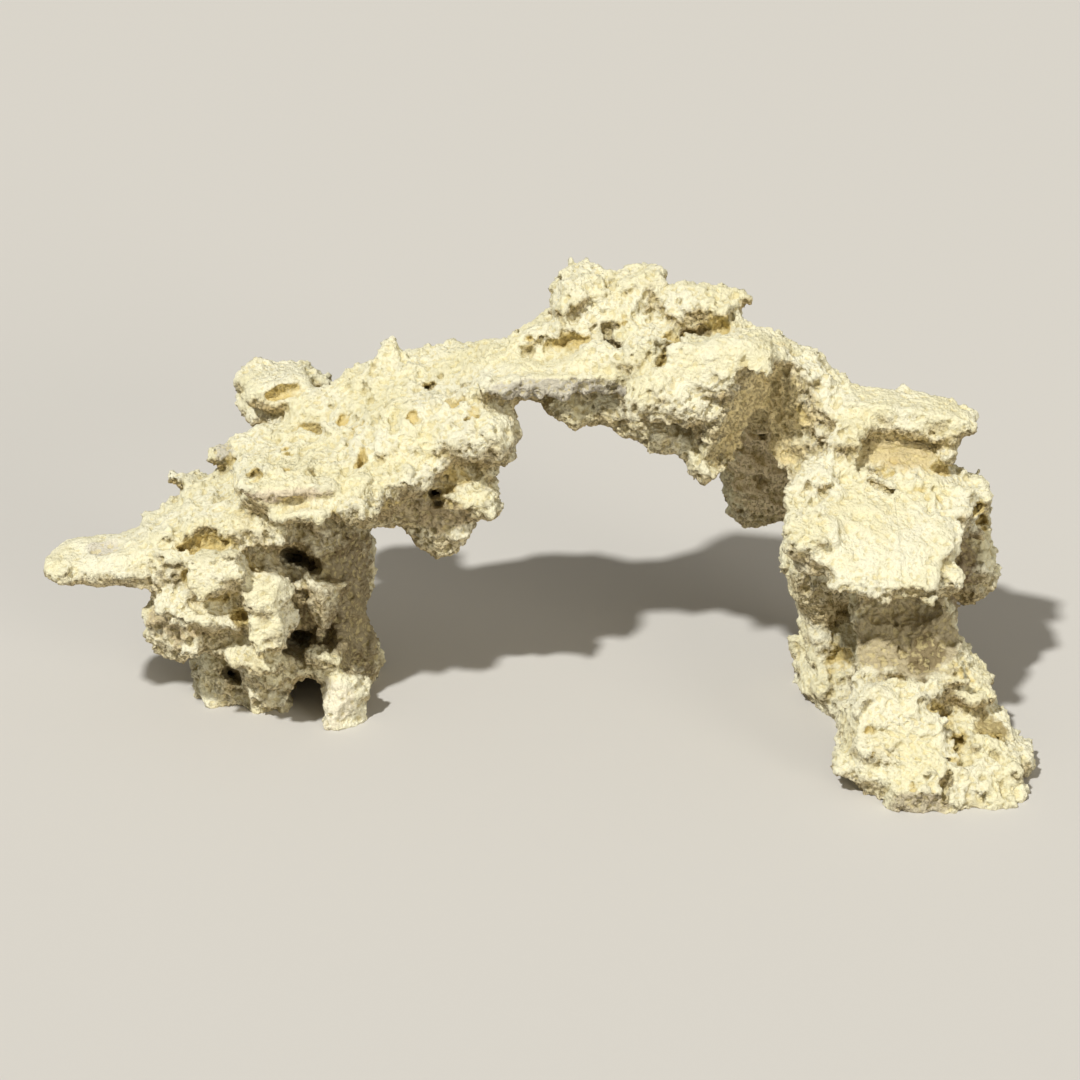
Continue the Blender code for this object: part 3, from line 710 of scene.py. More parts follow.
@dataclass
class Crumbs:
    """Broken crumbs strewn over the stone before it is fused."""

    apart: float  # least distance from one to the next
    size: tuple[float, float]  # radii
    sunk: float  # how deep their middles lie under the surface
    seed: int
    kinds: int = 8
    under_share: float = 0.45  # how many lie on faces that look down, as a share of those on top
    under: tuple[float, float] = (-0.5, 0.3)  # how far up a face looks that has the fewest, and the most
    drift: float = 20.0  # from one drift of crumbs to the next
    worn_off: float = 0.85  # the share that is missing where the stone is worn
    tumble: float = 0.6  # how far each one is turned at most, in radians

    def lump(self, index: int) -> bpy.types.Object:
        """Models one crumb of unit radius, flattened and chipped."""
        chance = random.Random(f"crumb {self.seed} {index}")
        half = (1.1 / MM, chance.uniform(0.6, 1.0) / MM, chance.uniform(0.4, 0.8) / MM)
        return Form((0, 0, 0), half, bulge=1.5, chips=Cut.MANY).build(f"crumb_{self.seed}_{index}")

    def strew(self, stone: bpy.types.Object, worn: "Worn") -> None:
        """Strews the crumbs over a stone, few where it is worn, and joins them to it.

        Args:
            stone: the object that they are joined to.
            worn: where the stone is worn.
        """
        heap = bpy.data.collections.new(f"crumbs_{self.seed}")
        bpy.context.scene.collection.children.link(heap)
        lumps = [self.lump(index) for index in range(self.kinds)]
        for lump in lumps:
            for home in lump.users_collection:
                home.objects.unlink(lump)
            heap.objects.link(lump)
        shaper = Shaper(f"strew_{self.seed}")
        share = shaper.upward().step(*self.under) * (1.0 - self.under_share) + self.under_share
        share = share * shaper.noise(shaper.place, self.drift).step(0.30, 0.55)
        share = share * (1.0 - worn.calm(shaper) * self.worn_off)
        spread = shaper.node(
            "GeometryNodeDistributePointsOnFaces",
            {"distribute_method": "POISSON"},
            {
                "Mesh": shaper.mesh,
                "Distance Min": self.apart * MM,
                "Density Max": 2.0 / (self.apart * MM) ** 2,
                "Density Factor": share,
                "Seed": self.seed,
            },
        )
        sink = shaper.scaled(spread.outputs["Normal"], -self.sunk * MM)
        sockets = {"Geometry": spread.outputs["Points"], "Offset": sink}
        placed = shaper.node("GeometryNodeSetPosition", {}, sockets)
        sockets = {"Collection": heap, "Separate Children": True, "Reset Children": True}
        source = shaper.node("GeometryNodeCollectionInfo", {}, sockets)
        turn = shaper.chance_vector(-self.tumble, self.tumble, self.seed + 1)
        sockets = {"Rotation": spread.outputs["Rotation"], "Rotate By": turn}
        turned = shaper.node("FunctionNodeRotateEuler", {"space": "LOCAL"}, sockets)
        set_down = shaper.node(
            "GeometryNodeInstanceOnPoints",
            {},
            {
                "Points": placed.outputs[0],
                "Instance": source.outputs[0],
                "Pick Instance": True,
                "Rotation": turned.outputs[0],
                "Scale": shaper.chance(self.size[0] * MM, self.size[1] * MM, self.seed + 2),
            },
        )
        real = shaper.node("GeometryNodeRealizeInstances", {}, {0: set_down.outputs[0]})
        both = shaper.node("GeometryNodeJoinGeometry", {}, {0: real.outputs[0]})
        shaper.feed(both.inputs[0], shaper.mesh)
        shaper.mesh = both.outputs[0]
        shaper.work_on(stone)
        for lump in lumps:
            bpy.data.objects.remove(lump)
        bpy.data.collections.remove(heap)


@dataclass(frozen=True)
class Fibres:
    """A stretch of the stone whose broken face shows fibres."""

    at: Point
    half: Point
    along: Point  # direction of the fibres
    width: float  # from one fibre to the next
    height: float  # of the fibres' ridges
    drawn: float = 0.2  # how much of the pattern's length is left along the fibres


@dataclass(frozen=True)
class Patch:
    """A patch of another colour on the crust: worn or bare stone, or painted light or shade over a stretch of
    it.
    """

    at: Point
    half: Point
    colour: Colour
    share: float  # how much of the crust's own colour it hides


@dataclass(frozen=True)
class ReefStone:
    """Dry reef limestone: cream crust with honey stains, with painted shade in tan below, in creases and pores
    and in black in the deepest places, and a painted amber glow in its hollows.
    """

    cream: Colour = (0.94, 0.895, 0.62)
    pale: Colour = (0.97, 0.945, 0.74)
    # honey: the colour of stains, and also painted shade in creases
    honey: Colour = (0.79, 0.69, 0.365)
    # tan: painted shade on faces that look down and in sheltered places, partly mixed with stains
    tan: Colour = (0.64, 0.50, 0.25)
    # amber: a painted glow of light bounced inside the hollows
    amber: Colour = (0.80, 0.65, 0.28)
    # brown: painted shade in creases and pores
    brown: Colour = (0.22, 0.15, 0.07)
    # dark: painted black shade in the deepest places
    dark: Colour = (0.05, 0.03, 0.012)
    roughness: float = 0.95
    shine: float = 0.2
    blot_width: float = 22.0
    stain_width: float = 7.0
    speck_width: float = 1.6
    grain_width: float = 0.7
    dome_width: float = 1.4
    relief: float = 1.1  # height of the finest grain, which is not in the mesh
    patches: tuple[Patch, ...] = (
        # Painted shade: grey on the bar's steep front.
        Patch((10, -2, 154), (38, 6, 7), (0.60, 0.57, 0.51), 0.75),
        Patch((-104, -34, 119), (22, 7, 4), (0.84, 0.70, 0.54), 0.6),
        Patch((-192, -16, 86), (9, 7, 7), (0.74, 0.70, 0.60), 0.8),
        Patch((-139, 22, 114), (7, 7, 5), (0.60, 0.57, 0.52), 0.7),
        # Browner at the front of the right foot, by the floor.
        Patch((163, -102, 4), (14, 10, 8), (0.52, 0.44, 0.32), 0.6),
        # Painted shade: brown on the left leg's low wall under the tongue.
        Patch((-158, -26, 55), (16, 16, 12), (0.60, 0.48, 0.28), 0.7),
        # Painted light: the shaded lobe face lit honey, as if by bounced light.
        Patch((99, 11, 136), (26, 32, 34), (1.0, 0.85, 0.48), 0.85),
        # Painted light: the shaded back lobe lightened, as if by bounced light.
        Patch((112, 62, 90), (26, 26, 40), (1.0, 0.85, 0.56), 0.95),
        # Painted light: the recess under the beam and its inner hollow lit tan, as if by bounced light.
        Patch((160, 5, 123), (27, 15, 14), (0.74, 0.61, 0.32), 0.85),
        Patch((158, 0, 116), (9, 8, 7), (0.78, 0.60, 0.31), 0.85),
        # Painted shade: dark brown on the right flank.
        Patch((190, -22, 76), (12, 32, 24), (0.32, 0.24, 0.14), 0.85),
        # Painted shade: near black in the cave under the plate's right end.
        Patch((188, -41, 85), (9, 16, 11), (0.20, 0.14, 0.08), 0.85),
        # Painted light: the toe's facet lightened as if the key light reached it.
        Patch((-91, -26, 12), (11, 9, 14), (1.0, 0.94, 0.74), 0.85),
        Patch((199, -66, 20), (8, 10, 12), (0.44, 0.35, 0.16), 0.95),
        # Painted shade: the plate's shadow on the column, in brown.
        Patch((163, -46, 57), (34, 23, 25), (0.47, 0.385, 0.225), 0.8),
        # Painted shade: dark in the column's crevices.
        Patch((171, -50, 50), (9, 10, 9), (0.24, 0.18, 0.085), 0.75),
        # Painted shade: the shelf's shadow on the left leg's right wall, in dark brown.
        Patch((-80, 4, 48), (30, 34, 46), (0.26, 0.195, 0.10), 0.8),
        # Painted shade: brown under the arm.
        Patch((-60, -16, 100), (36, 20, 16), (0.48, 0.37, 0.20), 0.65),
        # Painted shade: tan-brown on the hanging lobe under the arm.
        Patch((-43, -8, 95), (14, 14, 9), (0.55, 0.44, 0.26), 0.6),
    )

    def material(self, name: str) -> bpy.types.Material:
        """Builds the finish.

        Args:
            name: the material's name.

        Returns:
            The material, which reads the stone's attributes for shelter, nook, facing down, creases and the
            hollows that get a painted amber glow; they steer its painted shade and glow.
        """
        made = bpy.data.materials.new(name)
        made.use_nodes = True
        made.node_tree.nodes.clear()
        board = Board(made.node_tree)
        place = board.scaled(board.node("ShaderNodeTexCoord").outputs["Object"], 1.0 / MM)
        shelter, nook, under, crease, stained = (
            Value(board, board.node("ShaderNodeAttribute", {"attribute_name": kept}).outputs["Fac"])
            for kept in ("shelter", "nook", "under", "crease", "stained")
        )
        blots = board.noise(place, self.blot_width, 3.0, 0.6)
        stains = board.noise(place, self.stain_width, 4.0, 0.6)
        specks = board.noise(place, self.speck_width, 4.0, 0.7)
        grains = board.noise(place, self.grain_width, 2.0, 0.6)
        colour = board.mix(blots.step(0.35, 0.65), self.cream, self.pale)
        colour = board.mix(stains.step(0.52, 0.72) * 0.3, colour, self.honey)
        # Painted shade: tan on faces that look down and in sheltered places, partly mixed with the stains.
        brown = (under * 0.7 + shelter * 0.55 + (stains - 0.5) * 0.6).step(0.15, 0.95)
        colour = board.mix(brown * 0.9, colour, self.tan)
        # How far a point lies below or sheltered, which sets how much painted shade its creases and pores get.
        shaded_below = (under + shelter * 0.5).step(0.15, 0.9)
        # Painted shade: brown in creases.
        colour = board.mix(crease.step(0.2, 1.0) * shaded_below * 0.6, colour, self.brown)
        # Painted shade: dark brown specks in the pores, strongest below and in sheltered places.
        holes = specks.step(0.50, 0.38) * (shaded_below * 0.9 + 0.06)
        colour = board.mix(holes * 0.4, colour, self.brown)
        # Patches: bare or worn stone, or painted light or shade.
        for patch in self.patches:
            shown = (board.inside(place, patch.at, patch.half) + (stains - 0.5) * 1.2).step(0.0, 0.35)
            colour = board.mix(shown * patch.share, colour, patch.colour)
        # Painted shade: honey in creases.
        colour = board.mix(crease.step(0.15, 0.9) * 0.55, colour, self.honey)
        # More painted shade in the pores.
        colour = board.mix(holes * 0.3, colour, self.brown)
        # Painted glow: amber bounced light in closed places near the cut hollows.
        closed = (nook * 1.2 + shelter * 0.6 + (stains - 0.5) * 0.4).step(0.25, 0.7)
        colour = board.mix(stained * closed * 0.9, colour, self.amber)
        # Painted shade: black in the deepest, most sheltered places.
        deep = (nook * 0.4 + shelter).step(1.05, 1.35) * (1.0 - stained * 0.7)
        colour = board.mix(deep, colour, self.dark)
        relief = specks * 1.3 + board.domes(place, self.dome_width) * 0.3 + grains * 0.3 - holes * 0.5
        sockets = {"Strength": 1.0, "Distance": self.relief * MM, "Height": relief}
        bump = board.node("ShaderNodeBump", {}, sockets)
        sockets = {
            "Base Color": colour,
            "Roughness": self.roughness,
            "Specular IOR Level": self.shine,
            "Normal": bump.outputs[0],
        }
        shader = board.node("ShaderNodeBsdfPrincipled", {}, sockets)
        board.node("ShaderNodeOutputMaterial", {}, {"Surface": shader.outputs[0]})
        return made


@dataclass(frozen=True)
class Feeler:
    """Feels out what each point of the skin lies in, for the stone's colours, most of them painted shade and a
    painted glow.
    """

    rays: int = 12  # how many ways it looks from each point
    first_seed: int = 40
    start: float = 0.3  # height over the point from which it looks
    stray: float = 0.95  # how far it looks aside, as a share of how far it looks straight out
    reach: float = 60.0
    nook: tuple[float, float] = (9.0, 3.0)  # distances at which stone begins to count as near, and does fully
    under: tuple[float, float] = (0.35, -0.45)  # how far up a point faces as it begins to be under, and is fully
    crease: float = 3.0  # how much a point counts as sunk for each millimetre under its neighbours
    amber: tuple[float, float] = (2.6, 1.0)  # distances from a wall at which its painted amber glow begins, and is full

    def feel(self, stone: bpy.types.Object, guide: bpy.types.Object) -> None:
        """Keeps on each point how closed in it is, from afar and close by, and what it lies in.

        Args:
            stone: the skin.
            guide: the hollows whose walls get a painted amber glow, used up here.
        """
        shaper = Shaper("shelter")
        start = shaper.vector("ADD", shaper.metres, shaper.scaled(shaper.normal, self.start * MM))
        far, near = None, None
        for ray in range(self.rays):
            aim = shaper.vector("NORMALIZE", shaper.chance_vector(-1.0, 1.0, self.first_seed + ray))
            sockets = {
                "Target Geometry": shaper.mesh,
                "Source Position": start,
                "Ray Direction": shaper.vector("ADD", shaper.normal, shaper.scaled(aim, self.stray)),
                "Ray Length": self.reach * MM,
            }
            cast = shaper.node("GeometryNodeRaycast", {}, sockets)
            hit = Value(shaper, cast.outputs["Is Hit"])
            close = Value(shaper, cast.outputs["Hit Distance"]).step(*(edge * MM for edge in self.nook)) * hit
            far = hit if far is None else far + hit
            near = close if near is None else near + close
        for name, total in (("shelter", far), ("nook", near)):
            shaper.store(name, Value(shaper, shaper.blurred(total / self.rays, 3)))
        shaper.store("under", Value(shaper, shaper.blurred(shaper.upward().step(*self.under), 10)))
        around = shaper.blurred(shaper.metres, 5, "FLOAT_VECTOR")
        sunk = shaper.dot(shaper.vector("SUBTRACT", around, shaper.metres), shaper.normal)
        shaper.store("crease", sunk * (self.crease / MM))
        walls = shaper.node("GeometryNodeObjectInfo", {}, {"Object": guide}).outputs["Geometry"]
        to_wall = shaper.node("GeometryNodeProximity", {"target_element": "FACES"}, {0: walls})
        away = Value(shaper, to_wall.outputs["Distance"])
        shaper.store("stained", away.step(*(edge * MM for edge in self.amber)))
        shaper.work_on(stone)
        bpy.data.objects.remove(guide)


@dataclass
class Skin:
    """The stone's whole outside, fused from the solid, its forms and its crumbs."""

    round_off: int = 4  # how many times the solid's facets are smoothed
    facet_grain: float = 1.8  # voxel that the solid is smoothed on
    fusing_grain: float = 1.1  # voxel that the masses and crumbs are fused on
    final_grain: float = 0.8  # voxel that the broken stone is fused on once more
    most_triangles: int = 196000  # in each piece, before its cuts are filled
    names: tuple[str, ...] = (
        "skin_tongue",
        "skin_left_leg",
        "skin_left_arm",
        "skin_crown",
        "skin_right_arm",
        "skin_right_leg",
    )
    gnaw: float = 3.4  # how uneven the hollows' walls are
    swell: float = 2.4  # height of the stone's swells
    swell_width: float = 16.0
    broad_faces: Faces = Faces(11.0, 0.42, (9.0, 2.0))
    small_faces: Faces = Faces(5.0, 0.42, (4.0, 1.0))
    fine_faces: Faces = Faces(3.4, 0.45, (4.0, 1.2))
    ledge_apart: float = 11.0  # from one ledge up to the next
    ledge_depth: float = 1.8
    pits: Pits = Pits(9.0, 2.0, (5.0, 1.6), (0.58, 0.66), (0.40, 0.26))
    dents: Pits = Pits(5.6, 1.7, (4.0, 1.4), (0.58, 0.64), (0.44, 0.24))
    pores: Pits = Pits(3.4, 2.1, (2.5, 1.0), (0.36, 0.46), (0.44, 0.20))
    filled_pores: float = 1.6  # how much shallower the pores are on top
    foot_spread: float = 1.6  # how far the stone is pushed out at the floor, before its feet are cut flat
    worn_faces: float = 0.65  # the share of swells, faces and pits that is gone where the stone is worn
    worn_crust: float = 0.38
    drawn_along: Point = (0.6, 0.64, 0.48)  # direction in which the crust's grain is a little longer
    crust_width: float = 6.0
    crust_height: float = 3.6
    dome_width: float = 3.2  # of the rounded lumps that stand in groups on the crust
    fibrous: tuple[Fibres, ...] = (
        Fibres((90, 2, 146), (28, 24, 36), (0.55, 0.35, 0.76), 5.5, 2.2, 0.4),
        Fibres((161, 10, 124), (28, 14, 12), (0.99, 0.0, -0.14), 2.8, 1.1),
        Fibres((-70, -27, 107), (24, 14, 14), (0.2, 0.1, 0.97), 3.4, 1.2, 0.3),
        Fibres((117, -12, 64), (14, 14, 16), (0.1, 0.0, 0.99), 3.0, 0.9),
        Fibres((113, 8, 148), (12, 12, 12), (0.3, 0.0, 0.95), 3.4, 1.2, 0.3),
        Fibres((157, -85, 26), (22, 18, 16), (0.8, 0.1, -0.6), 4.0, 0.8, 0.4),
    )
    worn: Worn = Worn()
    coarse: Crumbs = field(default_factory=lambda: Crumbs(11.0, (3.0, 5.5), 2.0, 11))
    fine: Crumbs = field(default_factory=lambda: Crumbs(4.6, (1.2, 2.6), 0.5, 23))

    def copy_solid(self) -> bpy.types.Object:
        """Copies the solid, merges its loose triangles and rounds its facets off."""
        stone = bpy.data.objects.new("stone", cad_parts[NODE].data.copy())
        bpy.context.scene.collection.objects.link(stone)
        pick(stone)
        bpy.ops.object.mode_set(mode="EDIT")
        bpy.ops.mesh.select_all(action="SELECT")
        bpy.ops.mesh.remove_doubles(threshold=1e-5)
        bpy.ops.object.mode_set(mode="OBJECT")
        fuse(stone, self.facet_grain)
        smooth = stone.modifiers.new("Round off", "SMOOTH")
        smooth.iterations = self.round_off
        apply_modifier(stone, smooth)
        return stone

    def carve(self, stone: bpy.types.Object, hollows: list[bpy.types.Object]) -> None:
        """Cuts the hollows out of the stone, with uneven walls and rims."""
        cutter = join("hollows", hollows)
        fuse(cutter, self.fusing_grain)
        shaper = Shaper("gnaw")
        uneven = (shaper.noise(shaper.place, 6.0, 4.0, 0.65) - 0.5) * self.gnaw
        shaper.push(uneven + shaper.facets(shaper.place, 4.5) * 0.5 + 0.2)
        shaper.work_on(cutter)
        fuse(cutter, self.fusing_grain)
        cut = stone.modifiers.new("Carve", "BOOLEAN")
        cut.operation = "DIFFERENCE"
        cut.object = cutter
        apply_modifier(stone, cut)
        bpy.data.objects.remove(cutter)

    def break_up(self, stone: bpy.types.Object) -> None:
        """Breaks the fused stone's faces up: swells, tilted broken faces, ledges and gouges."""
        shaper = Shaper("break_up")
        upward = shaper.upward()
        height = shaper.apart(shaper.place)[2]
        steep = 1.0 - upward * upward
        moved = (shaper.noise(shaper.place, self.swell_width, 4.0, 0.55) - 0.5) * self.swell
        moved = moved + shaper.broken(self.broad_faces) + shaper.broken(self.small_faces)
        layer = (height / self.ledge_apart + shaper.noise(shaper.place, 26.0, 2.0) * 3.0).past_whole()
        ledged = shaper.noise(shaper.place, 21.0).step(0.42, 0.58) * steep
        moved = moved + (layer - 0.5) * ledged * self.ledge_depth
        for pits in (self.pits, self.dents):
            sunk, chosen = shaper.pitted(pits)
            moved = moved - sunk * chosen * pits.depth
        moved = moved * (1.0 - self.worn.calm(shaper) * self.worn_faces)
        moved = moved + height.step(2.2, 1.0) * self.foot_spread
        shaper.push(moved)
        shaper.work_on(stone)

    def crust(self, stone: bpy.types.Object) -> None:
        """Gives the stone its fine crust: grains on top, and pores and fibres below."""
        shaper = Shaper("crust")
        top = shaper.upward().step(-0.4, 0.3)
        drawn = shaper.wandering(shaper.drawn_out(shaper.place, self.drawn_along, 0.9), 7.0, 3.0)
        moved = (shaper.noise(drawn, self.crust_width, 5.0, 0.68) - 0.5) * self.crust_height
        moved = moved + shaper.broken(self.fine_faces)
        lumpy = shaper.noise(shaper.place, 15.0, 2.0).step(0.46, 0.58)
        domes = shaper.domes(shaper.wandering(shaper.place, 3.0, 1.0), self.dome_width)
        moved = moved + domes * lumpy * (0.5 + top * 0.4)
        sunk, chosen = shaper.pitted(self.pores)
        moved = moved - sunk * (chosen * (self.pores.depth - top * self.filled_pores))
        moved = moved * (1.0 - self.worn.calm(shaper) * self.worn_crust)
        for stretch in self.fibrous:
            there = shaper.inside(shaper.place, stretch.at, stretch.half).step(0.0, 0.35)
            drawn = shaper.drawn_out(shaper.wandering(shaper.place, 9.0, 2.0), stretch.along, stretch.drawn)
            crest = (shaper.noise(drawn, stretch.width, 2.0, 0.5) - 0.5).size().step(0.09, 0.0)
            flakes = shaper.facets(drawn, stretch.width * 1.3) * 0.35
            moved = moved * (1.0 - there * 0.6) + (crest * stretch.height + flakes - 0.4) * there * 1.4
        shaper.push(moved)
        shaper.work_on(stone)

    def stand_flat(self, stone: bpy.types.Object) -> None:
        """Cuts the feet off flat at the floor."""
        self.cut_off(stone, Vector((0, 0, 0)), Vector((0, 0, -1)))

    def cut_off(self, stone: bpy.types.Object, at: Vector, away: Vector) -> None:
        """Cuts off what lies beyond a plane, closes the cut and gives it a sharp edge.

        Args:
            stone: the object.
            at: a point of the plane, in metres.
            away: the plane's direction, towards what is cut off.
        """
        pick(stone)
        bpy.ops.object.mode_set(mode="EDIT")
        bpy.ops.mesh.select_all(action="SELECT")
        bpy.ops.mesh.bisect(plane_co=at, plane_no=away, clear_outer=True, threshold=0.0)
        bpy.ops.mesh.select_all(action="DESELECT")
        bpy.ops.object.mode_set(mode="OBJECT")
        mesh = bmesh.new()
        mesh.from_mesh(stone.data)
        self.fill(mesh, at, away)
        mesh.to_mesh(stone.data)
        mesh.free()

    def fill(self, mesh: bmesh.types.BMesh, at: Vector, away: Vector) -> None:
        """Fills the flat openings that a cut has left.

        Args:
            mesh: the mesh.
            at: a point of the cut, in metres.
            away: the cut's direction, out of the stone.
        """
        def on_cut(corner: bmesh.types.BMVert) -> bool:
            """Whether a corner lies on the cut."""
            return abs((corner.co - at).dot(away)) < ON_CUT

        ends = [corner for corner in mesh.verts if corner.is_boundary and on_cut(corner)]
        bmesh.ops.remove_doubles(mesh, verts=ends, dist=ON_CUT)
        rim = [edge for edge in mesh.edges if edge.is_boundary and all(map(on_cut, edge.verts))]
        rings = [(edge.link_loops[0].vert, edge.link_loops[0].link_loop_next.vert) for edge in rim]
        corners = list({corner: None for ring in rings for corner in ring})
        number = {corner: index for index, corner in enumerate(corners)}
        side = away.orthogonal().normalized()
        up = away.cross(side)
        flat = [Vector((corner.co.dot(side), corner.co.dot(up))) / MM for corner in corners]
        edges = [(number[first], number[last]) for first, last in rings]
        spots, _, caps, origins, _, _ = delaunay_2d_cdt(flat, edges, [], ALL_TRIANGLES, 1e-6)
        height = at.dot(away) * away
        made = [
            corners[own[0]] if own else mesh.verts.new(height + (spot.x * side + spot.y * up) * MM)
            for spot, own in zip(spots, origins)
        ]
        for cap in self.inside(np.array(spots), np.array(caps), np.array(flat)[np.array(edges)]):
            ring = [made[point] for point in cap]
            if len(set(ring)) == 3 and mesh.faces.get(ring) is None:
                mesh.faces.new(ring).smooth = False

    @staticmethod
    def inside(spots: np.ndarray, caps: np.ndarray, rim: np.ndarray) -> np.ndarray:
        """Picks out the triangles of a cut that lie in the stone.

        Args:
            spots: the corners of all triangles.
            caps: three corner numbers for each triangle.
            rim: the two ends of each rim edge, in the order that its own face has.

        Returns:
            The triangles that the rims go round.
        """
        middle = spots[caps].mean(axis=1)[:, None]
        first, last = rim[None, :, 0], rim[None, :, 1]
        rises = (first[..., 1] <= middle[..., 1]) & (last[..., 1] > middle[..., 1])
        falls = (first[..., 1] > middle[..., 1]) & (last[..., 1] <= middle[..., 1])
        span, reach = last - first, middle - first
        left = span[..., 0] * reach[..., 1] - span[..., 1] * reach[..., 0] > 0
        turns = (rises & left).sum(axis=1) - (falls & ~left).sum(axis=1)
        return caps[turns != 0]

    def thin(self, stone: bpy.types.Object) -> None:
        """Brings the mesh under its limit of triangles, with most of them where it is roughest."""
        triangulate = stone.modifiers.new("Triangulate", "TRIANGULATE")
        apply_modifier(stone, triangulate)
        most = self.most_triangles * len(self.names)
        if len(stone.data.polygons) > most:
            decimate = stone.modifiers.new("Thin", "DECIMATE")
            decimate.ratio = most / len(stone.data.polygons)
            apply_modifier(stone, decimate)

    def keep_in_box(self, stone: bpy.types.Object) -> None:
        """Presses the few points that stand out of the solid's box back onto it."""
        low, high = (np.array(corner, np.float32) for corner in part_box(NODE))
        points = np.clip(points_of(stone), low, high)
        stone.data.vertices.foreach_set("co", points.ravel())
        stone.data.update()

    def part(self, stone: bpy.types.Object) -> list[bpy.types.Object]:
        """Parts the skin along the arch into pieces with about as many points each, on flat cuts."""
        count = len(self.names)
        cuts = np.quantile(points_of(stone)[:, 0], [share / count for share in range(1, count)])
        pieces = []
        along = Vector((1, 0, 0))
        for name, cut in zip(self.names[:-1], cuts):
            piece = bpy.data.objects.new(name, stone.data.copy())
            bpy.context.scene.collection.objects.link(piece)
            self.cut_off(piece, along * float(cut), along)
            self.cut_off(stone, along * float(cut), -along)
            pieces.append(piece)
        stone.name = self.names[-1]
        return pieces + [stone]

    def build(self, stretches: list[Stretch]) -> list[bpy.types.Object]:
        """Builds the skin.

        Args:
            stretches: the stretches of the arch, with their masses and hollows.

        Returns:
            The skin's pieces, in place.
        """
        stone = self.copy_solid()
        log.info("solid copied: %d faces", len(stone.data.polygons))
        stone = join("stone", [stone] + [mass for stretch in stretches for mass in stretch.masses()])
        fuse(stone, self.fusing_grain)
        log.info("masses set: %d faces", len(stone.data.polygons))
        self.coarse.strew(stone, self.worn)
        fuse(stone, self.fusing_grain)
        self.fine.strew(stone, self.worn)
        fuse(stone, self.fusing_grain)
        log.info("crumbs fused: %d faces", len(stone.data.polygons))
        self.carve(stone, [cutter for stretch in stretches for cutter in stretch.hollows()])
        log.info("hollows cut: %d faces", len(stone.data.polygons))
        self.break_up(stone)
        fuse(stone, self.final_grain)
        log.info("broken up: %d faces", len(stone.data.polygons))
        stone = keep_largest(stone)
        self.crust(stone)
        stone.data.shade_smooth()
        self.stand_flat(stone)
        self.thin(stone)
        self.keep_in_box(stone)
        guide = join("guide", [cutter for stretch in stretches for cutter in stretch.stained()])
        Feeler().feel(stone, guide)
        log.info("weathered: %d faces", len(stone.data.polygons))
        return self.part(stone)

    def dress(self, pieces: list[bpy.types.Object]) -> None:
        """Gives the skin's pieces their finish and sets them in the place of the solid."""
        finish = ReefStone().material("reef_stone")
        for piece in pieces:
            piece.data.materials.clear()
            piece.data.materials.append(finish)
            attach(piece, BODY)
            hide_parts(NODE)


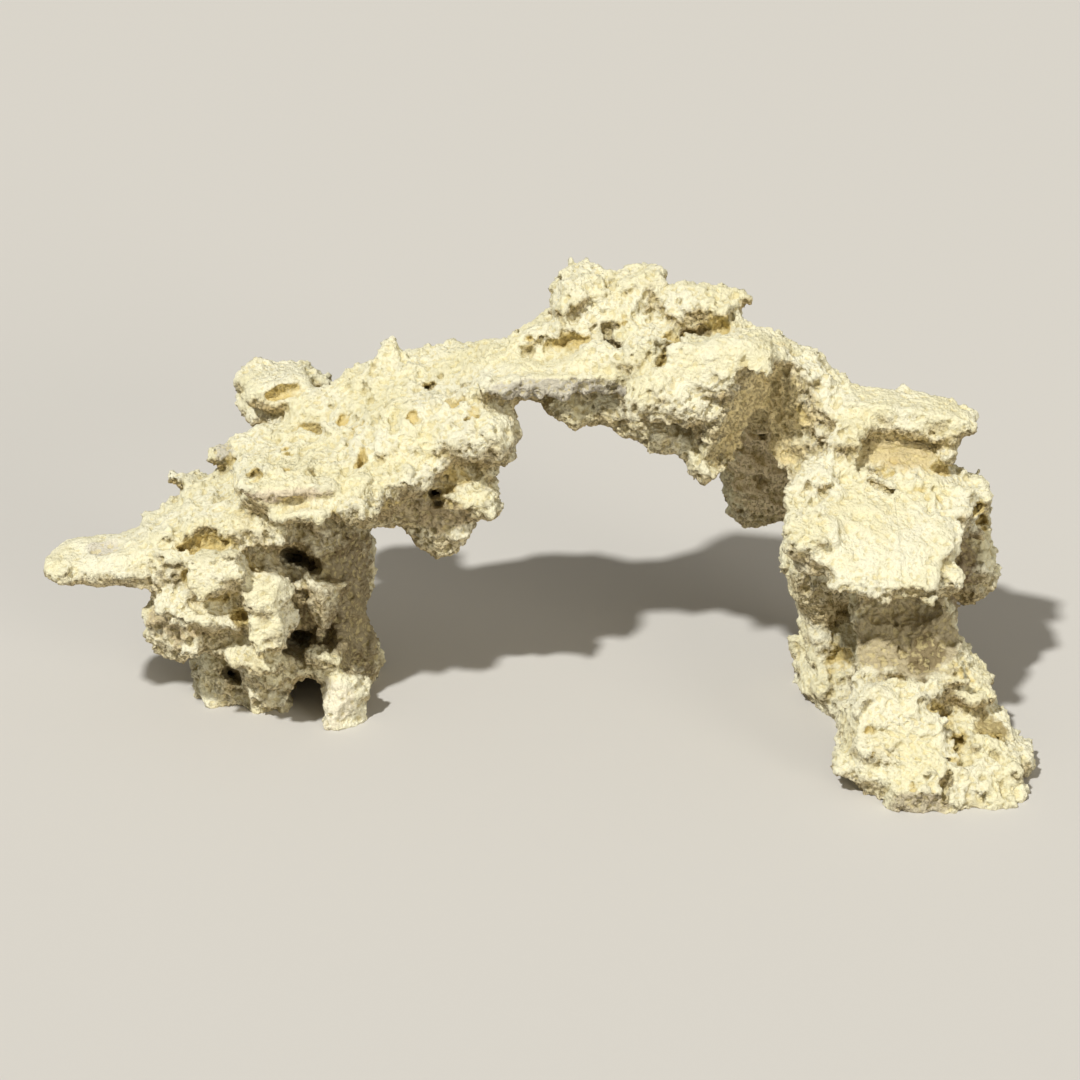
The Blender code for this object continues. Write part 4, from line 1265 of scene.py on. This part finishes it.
@dataclass
class Studio:
    """A plain pale floor, soft light and the camera at the photograph's viewing angle."""

    target: Point = (2.24, -0.47, 81.44)  # the point at the middle of the picture
    distance: float = 1294.2
    elevation: float = 26.0  # degrees above the floor
    seen_width: float = 483.8  # what the picture's width takes in at that distance
    sensor: float = 36.0
    floor_size: float = 8000.0
    floor_colour: Colour = (0.62, 0.61, 0.59)
    floor_roughness: float = 0.9
    key_from: Point = (-0.36, -0.47, 0.81)
    key_strength: float = 3.05
    key_softness: float = 3.0  # degrees across
    key_colour: Colour = (1.0, 0.98, 0.93)
    sky_colour: Colour = (1.0, 0.93, 0.80)
    sky_strength: float = 0.27
    fill_from: Point = (0.62, -0.74, 0.25)
    fill_strength: float = 0.95
    fill_softness: float = 22.0
    farthest: float = 20000.0  # what the camera still sees

    def floor(self) -> None:
        """Lays the floor."""
        bpy.ops.mesh.primitive_plane_add(size=self.floor_size * MM)
        floor = bpy.context.active_object
        floor.name = "studio_floor"
        made = bpy.data.materials.new("pale_floor")
        made.use_nodes = True
        shader = made.node_tree.nodes["Principled BSDF"]
        shader.inputs["Base Color"].default_value = (*self.floor_colour, 1.0)
        shader.inputs["Roughness"].default_value = self.floor_roughness
        floor.data.materials.append(made)

    def sun(self, name: str, source: Point, strength: float, softness: float, colour: Colour) -> None:
        """Hangs one light as far away as the sun.

        Args:
            name: the light's name.
            source: the direction that it comes from.
            strength: how strong it is.
            softness: how many degrees it is across.
            colour: its colour.
        """
        bpy.ops.object.light_add(type="SUN")
        lamp = bpy.context.active_object
        lamp.name = name
        lamp.data.energy = strength
        lamp.data.angle = math.radians(softness)
        lamp.data.color = colour
        lamp.rotation_euler = Vector(source).to_track_quat("Z", "Y").to_euler()

    def light(self) -> None:
        """Hangs the key light and a soft fill light, with a soft sky all round."""
        self.sun("key_light", self.key_from, self.key_strength, self.key_softness, self.key_colour)
        self.sun("fill_light", self.fill_from, self.fill_strength, self.fill_softness, self.sky_colour)
        world = bpy.data.worlds.new("soft_sky")
        world.use_nodes = True
        sky = world.node_tree.nodes["Background"]
        sky.inputs["Color"].default_value = (*self.sky_colour, 1.0)
        sky.inputs["Strength"].default_value = self.sky_strength
        bpy.context.scene.world = world

    def camera(self) -> None:
        """Sets up the camera."""
        rise = math.radians(self.elevation)
        target = Vector(self.target) * MM
        back = Vector((0, -math.cos(rise), math.sin(rise)))
        bpy.ops.object.camera_add(location=target + back * self.distance * MM)
        camera = bpy.context.active_object
        camera.name = "camera"
        camera.rotation_euler = back.to_track_quat("Z", "Y").to_euler()
        camera.data.sensor_width = self.sensor
        camera.data.lens = self.sensor * self.distance / self.seen_width
        camera.data.clip_end = self.farthest * MM
        bpy.context.scene.camera = camera

    def build(self) -> None:
        """Builds the whole studio."""
        self.floor()
        self.light()
        self.camera()
        bpy.context.scene.view_settings.view_transform = "Standard"


def main() -> None:
    """Builds the rock and its studio, and reports each piece."""
    logging.basicConfig(level=logging.INFO, format="%(relativeCreated)6d ms %(message)s", stream=sys.stdout)
    stretches = [LeftLeg(), LeftArm(), Crown(), RightArm(), RightLeg()]
    skin = Skin()
    pieces = skin.build(stretches)
    skin.dress(pieces)
    for piece in pieces:
        log.info("built %s: %d triangles", piece.name, len(piece.data.polygons))
    Studio().build()
    log.info("built the studio")


if __name__ == "__main__":
    main()
